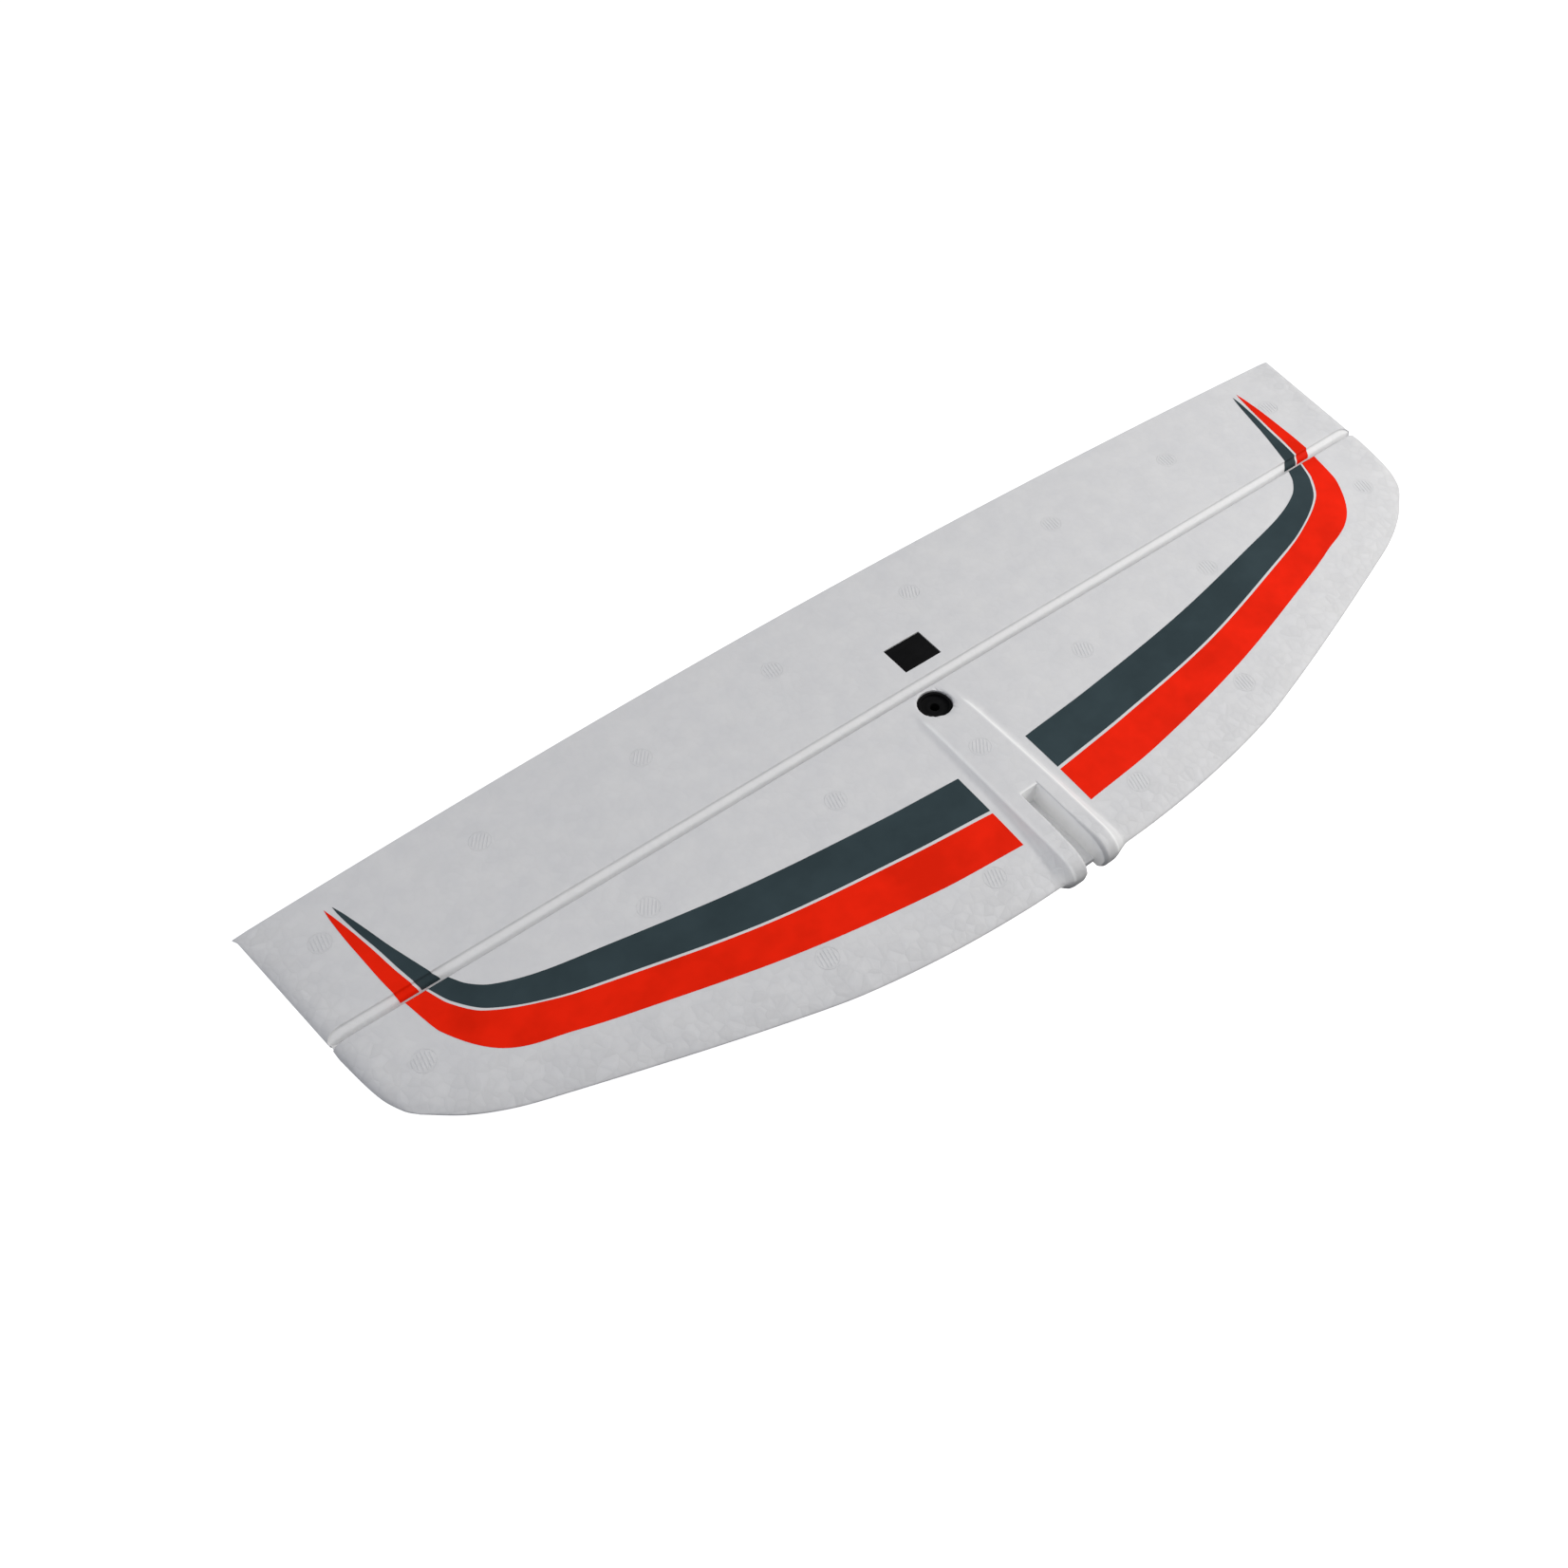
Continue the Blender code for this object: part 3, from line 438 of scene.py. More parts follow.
def stabCutters():
    h, slack = hub, 0.3
    half = h["slotHalf"]
    slot = roundedProfile(rectangle(-half, half, noseY - 4, h["slotEnd"]), (0, 0, 0.7, 0.7))
    sparLow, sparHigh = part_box("tail_spar")
    around = np.linspace(0, 2 * math.pi, 97)[:-1, None]
    circle = np.hstack([np.cos(around), np.sin(around)])
    centre = np.array([0, h["screwY"]])
    channel = rectangle(sparLow.x / mm - slack, sparHigh.x / mm + slack, sparLow.y / mm - slack,
                        sparHigh.y / mm + slack)
    leadY = float(leadingY(np.float64(0)))
    return [prism("slotForm", slot, h["slotFloor"], 16),
            prism("notchForm", rectangle(-half, half, noseY - 4.1, leadY + h["notch"]), -3, h["slotFloor"] + 0.5),
            prism("wellForm", circle * h["wellRadius"] + centre, h["wellFloor"], 16),
            prism("boreForm", circle * h["boreRadius"] + centre, -3, h["wellFloor"] + 0.5),
            prism("sparForm", channel, -1, sparHigh.z / mm + slack)]


# ---- elevator: one tapered panel with the bevel of the hinge groove along its front

elevatorPanel = dict(rows=50, step=1.25, groove=4.9, web=1.1, slack=0.3,
                     mouthEdge=0.35, trailEdge=0.45, ear=0.7, mostDrop=0.7,
                     # front face from the web up: share of the way aft and share of the rise
                     front=((0, 0), (0.40, 0.66), (0.50, 0.72), (0.88, 0.865), (0.95, 0.91), (1, 1)),
                     frontRows=26, frontRipple=0.05)
mouthY = hingeY + elevatorPanel["groove"]
footY = hingeY + elevatorPanel["web"] + 2 * elevatorPanel["slack"]


def elevatorTop(x, y):
    # foil less the rounding of its two edges, which never takes more than most of the thickness
    half = halfThickness(x, y)
    drop = edgeDrop(y - mouthY, elevatorPanel["mouthEdge"]) + edgeDrop(trailingY(x) - y, elevatorPanel["trailEdge"])
    ripple = skin(x, y) * smoothStep(0, 3, y - mouthY)
    return midZ + half - np.minimum(drop, elevatorPanel["mostDrop"] * half) + ripple * np.minimum(0.3 * half, 1)


def elevatorBottom(x, y):
    half = halfThickness(x, y)
    drop = edgeDrop(trailingY(x) - y, elevatorPanel["trailEdge"])
    ripple = 0.6 * skin(x - 31, y + 5) * smoothStep(0, 3, y - footY)
    return midZ - half + np.minimum(drop, elevatorPanel["mostDrop"] * half) + ripple * np.minimum(0.3 * half, 1)


def frontFace(foot, mouth, rise):
    # from the web up to the groove's mouth: steep, then a pressed ledge, then a short step
    aft, up = (np.interp(rise, np.linspace(0, 1, len(elevatorPanel["front"])), part)
               for part in np.array(elevatorPanel["front"]).T)
    face = foot + (mouth - foot) * aft[..., None]
    face[..., 2] = (foot + (mouth - foot) * up[..., None])[..., 2]
    return face


def makeElevator():
    # grid of span share and chord share; the groove's front face joins the two skins
    a = spanColumns(np.arange(0, 19, 1.25), halfSpan, elevatorPanel["step"], 30)[:, None] / halfSpan
    endY = float(trailingY(np.float64(halfSpan)))
    middle = footY + elevatorPanel["slack"]
    rings = []
    t = np.linspace(0, 1, elevatorPanel["rows"])
    near = np.array([0, 0.02, 0.06, 0.14, 0.26, 0.42, 0.6, 0.9]) / (endY - mouthY)
    far = 1 - np.array([0, 0.02, 0.06, 0.14, 0.26, 0.45])[::-1] / (endY - mouthY)
    s = np.concatenate([near, t[(t > 1.3 / 55) & (t < 1 - 0.9 / 55)], far])[None, :]
    for front, height, sign in ((mouthY, elevatorTop, 1), (footY, elevatorBottom, -1)):
        inside = np.clip((1 - np.abs(a)) * halfSpan / section["tipRound"], 0, 1)
        rounding = np.sqrt(1 - (1 - inside) ** 2)
        start = middle + (front - middle) * rounding
        x = tipX(start + (endY - start) * s) * a
        y = start + (trailingY(x) - start) * s
        z = height(x, y + (front - start) * (1 - s))
        z[[0, -1]] = midZ
        ear = elevatorPanel["ear"] * smoothStep(0.985, 1, -a) * smoothStep(0.965, 0.99, s)
        grid = np.stack([x - ear, y, np.maximum(z, midZ) if sign > 0 else np.minimum(z, midZ)], -1)
        rings.append(grid if sign > 0 else grid[:, ::-1])
    rise = np.linspace(0, 1, elevatorPanel["frontRows"])[None, 1:-1]
    front = frontFace(rings[1][:, -1:], rings[0][:, :1], rise)
    ripple = np.sin(a * 410 + 2.2 * np.sin(a * 89)) * np.sin(rise * 9 + a * 130)
    front[1:-1, :, 1] -= elevatorPanel["frontRipple"] * (ripple * np.sin(rise * math.pi))[1:-1]
    ring = np.concatenate(rings + [front], 1)
    piece = meshFrom("foamElevator", ring.reshape(-1, 3), ringFaces(len(a), ring.shape[1]))
    cutAway(piece, elevatorCutters())
    addCells(piece)
    return piece


horn = dict(x=(plateLow.x + plateHigh.x) / 2 / mm, y=(plateLow.y + plateHigh.y) / 2 / mm, width=16.0, length=12.5,
            plate=1.3, sink=0.75, spacing=10.4, screw=0.9, slack=0.3)


def hornSlope():
    reach = horn["length"] / 2
    y = np.array([horn["y"] - reach, horn["y"] + reach])
    z = halfThickness(np.full(2, horn["x"]), y)
    return math.atan2(z[1] - z[0], horn["length"])


def tiltedBox(name, centre, size, tilt):
    # box about its own centre, leaned about the span's direction
    corner = np.array([(i, j, k) for i in (-1, 1) for j in (-1, 1) for k in (-1, 1)], float)
    p = corner * np.array(size) / 2
    y = p[:, 1] * math.cos(tilt) - p[:, 2] * math.sin(tilt)
    z = p[:, 1] * math.sin(tilt) + p[:, 2] * math.cos(tilt)
    points = np.stack([p[:, 0], y, z], -1) + np.array(centre)
    mesh = bpy.data.meshes.new(name)
    quads = [(0, 1, 3, 2), (4, 6, 7, 5), (0, 4, 5, 1), (2, 3, 7, 6), (0, 2, 6, 4), (1, 5, 7, 3)]
    mesh.from_pydata((points * mm).tolist(), [], quads)
    return finishMesh(name, mesh, False)


def elevatorCutters():
    h = horn
    half = float(halfThickness(np.float64(h["x"]), np.float64(h["y"])))
    slope = hornSlope()
    wide, long = h["width"] + 2 * h["slack"], h["length"] + 2 * h["slack"]
    top, under = midZ + half, midZ - half
    deep, sunk = h["plate"] + h["slack"] + 2, h["sink"] + h["slack"] + 2
    stripLow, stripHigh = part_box("elevator_stiffener")
    slack = h["slack"]
    around = np.linspace(0, 2 * math.pi, 25)[:-1, None]
    circle = np.hstack([np.cos(around), np.sin(around)]) * (h["screw"] + slack)
    forms = [tiltedBox("plateForm", (h["x"], h["y"], top - h["plate"] - slack + deep / 2), (wide, long, deep), slope),
             tiltedBox("hornForm", (h["x"], h["y"], under + h["sink"] + slack - sunk / 2), (wide, long, sunk), -slope),
             prism("stripForm", rectangle(stripLow.x / mm - slack, stripHigh.x / mm + slack,
                                          stripLow.y / mm - slack, stripHigh.y / mm + slack),
                   -1, stripHigh.z / mm + slack)]
    for side in (-1, 1):
        at = np.array([h["x"] + side * h["spacing"] / 2, h["y"]])
        forms.append(prism("screwForm", circle + at, 2.0, 9.0))
    return forms


hingeWeb = dict(tipGap=0.25, columns=300, reach=0.35, thick=0.62)


def makeHingeWeb():
    # thin foam web along the underside, rising with the rounded tip edges; it reaches into both panels,
    # so that nothing opens when it bends
    end = float(tipX(np.float64(hingeY))) - hingeWeb["tipGap"]
    a = end * np.sin(np.linspace(-1, 1, hingeWeb["columns"]) * math.pi / 2)[:, None]
    across = np.linspace(0, 1, 9)[None, :]
    y = hingeY - hingeWeb["reach"] + (footY - hingeY + 2 * hingeWeb["reach"]) * across + 0 * a
    low = midZ - halfThickness(a + 0 * across, np.minimum(y, hingeY)) + 0.12
    thick = hingeWeb["thick"] + 0.25 * (2 * across - 1) ** 2 + 0.05 * np.sin(a * 1.9) * np.cos(a * 0.63)
    top = np.stack([a + 0 * across, y, low + thick], -1)
    bottom = np.stack([a + 0 * across, y, low + 0.02 * np.sin(a * 1.3)], -1)[:, ::-1]
    piece = shellFromRings("foamHinge", np.concatenate([top, bottom], 1))
    addCells(piece)
    return piece


def shellFromRings(name, ring, sharp=40):
    # rings joined into a tube, with each end closed by a strip of quads between its two halves
    rings, count = ring.shape[:2]
    half = count // 2
    i = np.arange(half - 1)
    ends = []
    for base in (0, (rings - 1) * count):
        ends.append(np.stack([base + i, base + i + 1, base + count - 2 - i, base + count - 1 - i], -1))
    faces = np.concatenate([ringFaces(rings, count)] + ends)
    return meshFrom(name, ring.reshape(-1, 3), faces, sharp=sharp)


# ---- vinyl bands: edges as (share of half span, share of the chord ahead of the hinge)

bands = dict(
    start=15.4, lift=0.07, sink=0.04,
    greyRear=((0.064, 0.422), (0.208, 0.391), (0.417, 0.324), (0.625, 0.221), (0.708, 0.173),
              (0.762, 0.117), (0.787, 0.061), (0.8015, 0.0)),
    greyFront=((0.064, 0.6065), (0.208, 0.5695), (0.417, 0.4915), (0.625, 0.3555), (0.708, 0.2905),
               (0.783, 0.1895), (0.8155, 0.089), (0.8305, 0.0)),
    orangeRear=((0.064, 0.6205), (0.208, 0.5815), (0.417, 0.5025), (0.625, 0.3665), (0.708, 0.2985),
                (0.788, 0.1925), (0.8194, 0.093), (0.8341, 0.0)),
    orangeFront=((0.064, 0.793), (0.208, 0.758), (0.417, 0.659), (0.625, 0.512), (0.708, 0.444),
                 (0.795, 0.353), (0.847, 0.173), (0.8640, 0.0)),
)
# on the elevator: (share of the chord behind the groove, share of half span)
rearPoints = dict(
    greyInner=((0.0, 0.8154), (0.151, 0.8266), (0.345, 0.8405), (0.541, 0.8527), (0.736, 0.8656), (0.82, 0.8724)),
    greyOuter=((0.0, 0.8395), (0.151, 0.8465), (0.345, 0.8543), (0.541, 0.8637), (0.736, 0.8712), (0.82, 0.8728)),
    orangeInner=((0.0, 0.8437), (0.151, 0.8514), (0.345, 0.8592), (0.541, 0.868), (0.736, 0.878), (0.83, 0.8838)),
    orangeOuter=((0.0, 0.8692), (0.151, 0.8737), (0.345, 0.8779), (0.541, 0.882), (0.736, 0.8844), (0.83, 0.8842)),
    # on the groove's bevel, in mm from the centre line at its foot
    bevel=dict(grey=(193.4, 200.3), orange=(201.2, 208.0)),
)


def filmPiece(name, base, away):
    # film over a grid of points, lifted along the surface's outward direction, with closed edges
    top, low = base + away * bands["lift"], base - away * bands["sink"]
    ring = np.concatenate([top, low[:, ::-1]], 1)
    return shellFromRings(name, ring, sharp=50)


def bandOnStab(name, rear, front, side, along=170, across=12):
    # between two edge curves; past the rear edge it turns down the hinge face
    share = bands["start"] / halfSpan + (np.array([rear[-1][0], front[-1][0]])[:, None]
                                         - bands["start"] / halfSpan) * np.sin(np.linspace(0, math.pi / 2, along))
    edges = []
    for line, edge in zip(share, (rear, front)):
        edges.append(np.stack([side * line * halfSpan, hingeY - stabChord * curveThrough(edge, line)], -1))
    w = np.linspace(0, 1, across)[None, :, None]
    flat = edges[0][:, None] * (1 - w) + edges[1][:, None] * w
    x, y = flat[..., 0], np.minimum(flat[..., 1], hingeY)
    z = stabTop(x, y)
    base = np.stack([x, y, z], -1)
    away = np.zeros_like(base)
    away[..., 2] = 1
    away[-1] = (0, 1, 0.3)
    down = [base[-1:] - np.array([0, 0, d]) for d in (0.7, 1.5, 2.4)]
    base = np.concatenate([base] + down)
    away = np.concatenate([away] + [np.tile((0.0, 1.0, 0.0), (1, across, 1)) for _ in down])
    return filmPiece(name, base, away)


def pointOnElevator(name, inner, outer, bevel, side, along=70, across=8):
    # from the groove's bevel over its rounded mouth, then aft between two edges to a point
    chord = float(trailingY(np.float64(halfSpan))) - mouthY
    w = np.linspace(0, 1, across)[None, :]
    behind = np.concatenate([[0, 0.008, 0.03, 0.09, 0.2, 0.4], np.linspace(0.7, chord * inner[-1][0], along - 6)])
    share = behind / chord
    x = side * halfSpan * (curveThrough(inner, share)[:, None] * (1 - w) + curveThrough(outer, share)[:, None] * w)
    y = mouthY + behind[:, None] + 0 * x
    base = np.stack([x, y, elevatorTop(x, y)], -1)
    away = np.zeros_like(base)
    away[..., 1] = -np.clip(1 - behind[:, None] / elevatorPanel["mouthEdge"], 0, 1)
    away[..., 2] = 1
    foot = side * (bevel[0] * (1 - w) + bevel[1] * w)
    low = np.stack([foot, footY + 0 * foot, midZ - halfThickness(foot, footY + 0 * foot)], -1)
    face = frontFace(low, base[:1], np.linspace(0.14, 0.985, 30)[:, None])
    along, climb = np.gradient(face[..., 1], axis=0), np.gradient(face[..., 2], axis=0)
    lean = np.stack([0 * along, -climb, along], -1)
    base = np.concatenate([face, base])
    away = np.concatenate([lean / np.linalg.norm(lean, axis=-1, keepdims=True), away])
    away = away / np.linalg.norm(away, axis=-1, keepdims=True)
    return filmPiece(name, base, away)


# ---- steam-vent marks left by the mould: a faint ring round a few raised slits

ventMarks = dict(
    radius=3.4, slit=0.34, pitch=1.25, height=0.09, ringWide=0.26, ringHeight=0.05, turn=-24,
    onStab=((-54.0, 11.7), (59.7, 11.2), (-128.0, 14.8), (126.5, 13.2), (-211.9, 10.6), (209.9, 7.7),
            (-93.1, -34.2), (-31.1, -43.2), (34.0, -43.5), (96.0, -34.5), (-1.0, -1.2)),
    onElevator=((-36.0, 72.4), (28.6, 72.5), (-96.0, 67.5), (96.3, 67.2), (-158.2, 70.7), (159.0, 66.3),
                (-218.5, 67.0), (216.0, 63.5)),
)


def makeVentMarks(name, centres, height, sign, turn):
    # each slit is a low half-round bar as long as the circle is there; the ring is swept round the same way
    v = ventMarks
    c = np.array(centres, float)
    offset = np.arange(-2, 3) * v["pitch"]
    length = np.sqrt(v["radius"] ** 2 - offset**2)
    s, w = np.linspace(-1, 1, 13), np.linspace(-1, 1, 7)
    m, o, s3, w3 = np.meshgrid(np.arange(len(c)), np.arange(5), s, w, indexing="ij")
    lean = np.radians(turn + 17 * np.sin(c[m, 0]))
    px, py = offset[o] + w3 * v["slit"], s3 * length[o]
    x = c[m, 0] + px * np.cos(lean) - py * np.sin(lean)
    y = c[m, 1] + px * np.sin(lean) + py * np.cos(lean)
    bump = v["height"] * np.sqrt(1 - w3**2) * np.sqrt(np.clip(1 - s3**8, 0, 1))
    ringW, around = np.meshgrid(np.linspace(-1, 1, 5), np.linspace(0, 2 * math.pi, 49), indexing="xy")
    rx = c[:, 0][:, None, None] + (v["radius"] + 0.5 + ringW * v["ringWide"]) * np.cos(around)
    ry = c[:, 1][:, None, None] + (v["radius"] + 0.5 + ringW * v["ringWide"]) * np.sin(around)
    rb = v["ringHeight"] * np.sqrt(1 - ringW**2) + 0 * rx
    pts, faces, base = [], [], 0
    for gx, gy, gb in ((x.reshape(-1, 13, 7), y.reshape(-1, 13, 7), bump.reshape(-1, 13, 7)), (rx, ry, rb)):
        rows, columns = gx.shape[1:]
        up = np.stack([gx, gy, height(gx, gy) + sign * gb], -1)
        low = np.stack([gx, gy, height(gx, gy) - sign * 0.05], -1)
        low = low[:, :, ::-1]
        ring = np.concatenate([up, low], 2).reshape(len(gx), -1, 3)
        one = ringFaces(rows, columns * 2)
        i = np.arange(columns - 1)
        caps = [np.stack([b + i, b + i + 1, b + 2 * columns - 2 - i, b + 2 * columns - 1 - i], -1)
                for b in (0, (rows - 1) * columns * 2)]
        one = np.concatenate([one] + (caps if columns == 7 else []))
        faces.append((one[None] + base + (np.arange(len(gx)) * ring.shape[1])[:, None, None]).reshape(-1, 4))
        pts.append(ring.reshape(-1, 3))
        base += ring.shape[0] * ring.shape[1]
    piece = meshFrom(name, np.concatenate(pts), np.concatenate(faces), sharp=70)
    addCells(piece)
    return piece


# ---- fittings

def makeScrewCup():
    # turned nylon cup: rolled rim, flat floor with a raised washer seat, sleeve down to the saddle
    outer, top = cupHigh.x / mm, cupHigh.z / mm
    corners = [(outer, top), (outer, 6.1), (4.0, 6.1), (4.0, 0.0), (1.7, 0.0), (1.7, 7.62), (3.1, 7.62),
               (3.4, 7.5), (outer - 1.25, 7.5), (outer - 1.0, top)]
    rounding = (0.35, 0.2, 0.2, 0.3, 0.25, 0.3, 0.1, 0.08, 0.35, 0.3)
    return turnedPiece("screwCup", roundedProfile(corners, rounding), (0, hub["screwY"], 0), 128)


def edgedCopy(name, node, width, angle=35, sharp=38):
    # the frame's own solid with its doubled points merged and its edges broken
    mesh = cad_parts[node].data.copy()
    mesh.materials.clear()
    for layer in list(mesh.attributes):
        if layer.name.startswith("custom_normal") or layer.name == "sharp_edge":
            mesh.attributes.remove(layer)
    piece = finishMesh(name, mesh, False, merge=0.00001)
    shape = bmesh.new()
    shape.from_mesh(piece.data)
    bmesh.ops.dissolve_limit(shape, angle_limit=math.radians(1.5), verts=shape.verts, edges=shape.edges)
    shape.to_mesh(piece.data)
    shape.free()
    edge = piece.modifiers.new("edge", "BEVEL")
    edge.width = width * mm
    edge.segments = 3
    edge.limit_method = "ANGLE"
    edge.angle_limit = math.radians(angle)
    bake(piece)
    piece.data.polygons.foreach_set("use_smooth", [True] * len(piece.data.polygons))
    piece.data.set_sharp_from_angle(angle=math.radians(sharp))
    return piece


def makeHornScrew(name, node):
    # turned pan-head screw with its shank going up, and a cross recess cut into the head
    low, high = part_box(node)
    cx, cy = (low.x + high.x) / 2 / mm, (low.y + high.y) / 2 / mm
    bottom, top = low.z / mm, high.z / mm
    head = (high.x - low.x) / 2 / mm
    t = np.linspace(0, 1, 9)
    dome = np.stack([head * np.sin(t * math.pi / 2) * 0.999 + 0.001, bottom + 0.75 * (1 - np.cos(t * math.pi / 2))], -1)
    z = np.linspace(bottom + 1.3, top - 0.7, 90)
    thread = np.stack([0.78 + 0.12 * (0.5 + 0.5 * np.cos(z * 2 * math.pi / 0.6)), z], -1)
    profile = np.concatenate([dome, [(head, bottom + 1.1), (0.8, bottom + 1.1)], thread, [(0.25, top), (0.001, top)]])
    piece = turnedPiece(name, profile[::-1], (cx, cy, 0), 40, 45)
    arms = [prism("crossForm", rectangle(cx - w, cx + w, cy - l, cy + l), bottom - 1, bottom + 0.6)
            for w, l in ((0.22, 0.95), (0.95, 0.22))]
    cutAway(piece, arms, 35)
    return piece


def makeStrip(name, node):
    # flat strip on edge: rounded-corner section, with slightly worn ends
    low, high = (np.array(c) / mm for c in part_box(node))
    corners = [(low[1], low[2]), (high[1], low[2]), (high[1], high[2]), (low[1], high[2])]
    flat = roundedProfile(corners, 0.18, 4)
    middle = flat.mean(0)
    x = np.array([low[0], low[0] + 0.05, low[0] + 0.2, *np.linspace(low[0] + 4, high[0] - 4, 60),
                  high[0] - 0.2, high[0] - 0.05, high[0]])
    shrink = np.array([0.72, 0.9, 1.0] + [1.0] * 60 + [1.0, 0.9, 0.72])[:, None, None]
    outline = middle + (flat - middle) * shrink
    ring = np.concatenate([np.broadcast_to(x[:, None, None], outline.shape[:2] + (1,)), outline], -1)
    return shellFromRings(name, ring, 45)


# ---- finishes

# the third colour is painted light: the near-white laid over the groove, the hub's shoulders and flanks and the slot
foamLook = dict(white=(0.672, 0.670, 0.676), shade=(0.640, 0.640, 0.652), paintedLight=(0.86, 0.86, 0.86),
                bead=3.7, rough=0.58, cellDepth=0.11, grainDepth=0.035)
vinylLook = dict(grey=(0.032, 0.050, 0.057), orange=(0.80, 0.0135, 0.0004), rough=0.5)
plasticLook = dict(black=(0.0024, 0.0024, 0.0026), rough=0.6)
stripLook = dict(dark=(0.028, 0.028, 0.030), light=(0.060, 0.060, 0.062))
steelLook = dict(zinc=(0.33, 0.33, 0.34), rough=0.34)


def newFinish(name):
    finish = bpy.data.materials.new(name)
    finish.use_nodes = True
    nodes, links = finish.node_tree.nodes, finish.node_tree.links
    shader = nodes["Principled BSDF"]
    coordinate = nodes.new("ShaderNodeTexCoord")
    return finish, nodes, links, shader, coordinate.outputs["Object"]


def noiseNode(nodes, links, where, scale, detail=3.0, rough=0.5, stretch=None):
    if stretch:
        mapping = nodes.new("ShaderNodeMapping")
        mapping.inputs["Scale"].default_value = stretch
        links.new(where, mapping.inputs["Vector"])
        where = mapping.outputs["Vector"]
    noise = nodes.new("ShaderNodeTexNoise")
    noise.inputs["Scale"].default_value = scale
    noise.inputs["Detail"].default_value = detail
    noise.inputs["Roughness"].default_value = rough
    links.new(where, noise.inputs["Vector"])
    return noise.outputs["Fac"]


def rampNode(nodes, links, value, stops):
    ramp = nodes.new("ShaderNodeValToRGB")
    while len(ramp.color_ramp.elements) < len(stops):
        ramp.color_ramp.elements.new(0.5)
    for element, (place, colour) in zip(ramp.color_ramp.elements, stops):
        element.position = place
        element.color = (*colour, 1) if hasattr(colour, "__len__") else (colour, colour, colour, 1)
    links.new(value, ramp.inputs["Fac"])
    return ramp.outputs["Color"]


def mixNode(nodes, links, a, b, share, kind="MIX"):
    mix = nodes.new("ShaderNodeMix")
    mix.data_type = "RGBA"
    mix.blend_type = kind
    for socket, value in ((mix.inputs[0], share), (mix.inputs[6], a), (mix.inputs[7], b)):
        if isinstance(value, bpy.types.NodeSocket):
            links.new(value, socket)
        elif hasattr(value, "__len__"):
            socket.default_value = (*value, 1)
        else:
            socket.default_value = value
    return mix.outputs[2]


def mathNode(nodes, links, operation, a, b):
    node = nodes.new("ShaderNodeMath")
    node.operation = operation
    for socket, value in zip(node.inputs, (a, b)):
        if isinstance(value, bpy.types.NodeSocket):
            links.new(value, socket)
        else:
            socket.default_value = value
    return node.outputs[0]


def bumpNode(nodes, links, height, depth, strength=1.0, below=None):
    bump = nodes.new("ShaderNodeBump")
    bump.inputs["Distance"].default_value = depth * mm
    bump.inputs["Strength"].default_value = strength
    links.new(height, bump.inputs["Height"])
    if below:
        links.new(below, bump.inputs["Normal"])
    return bump.outputs["Normal"]


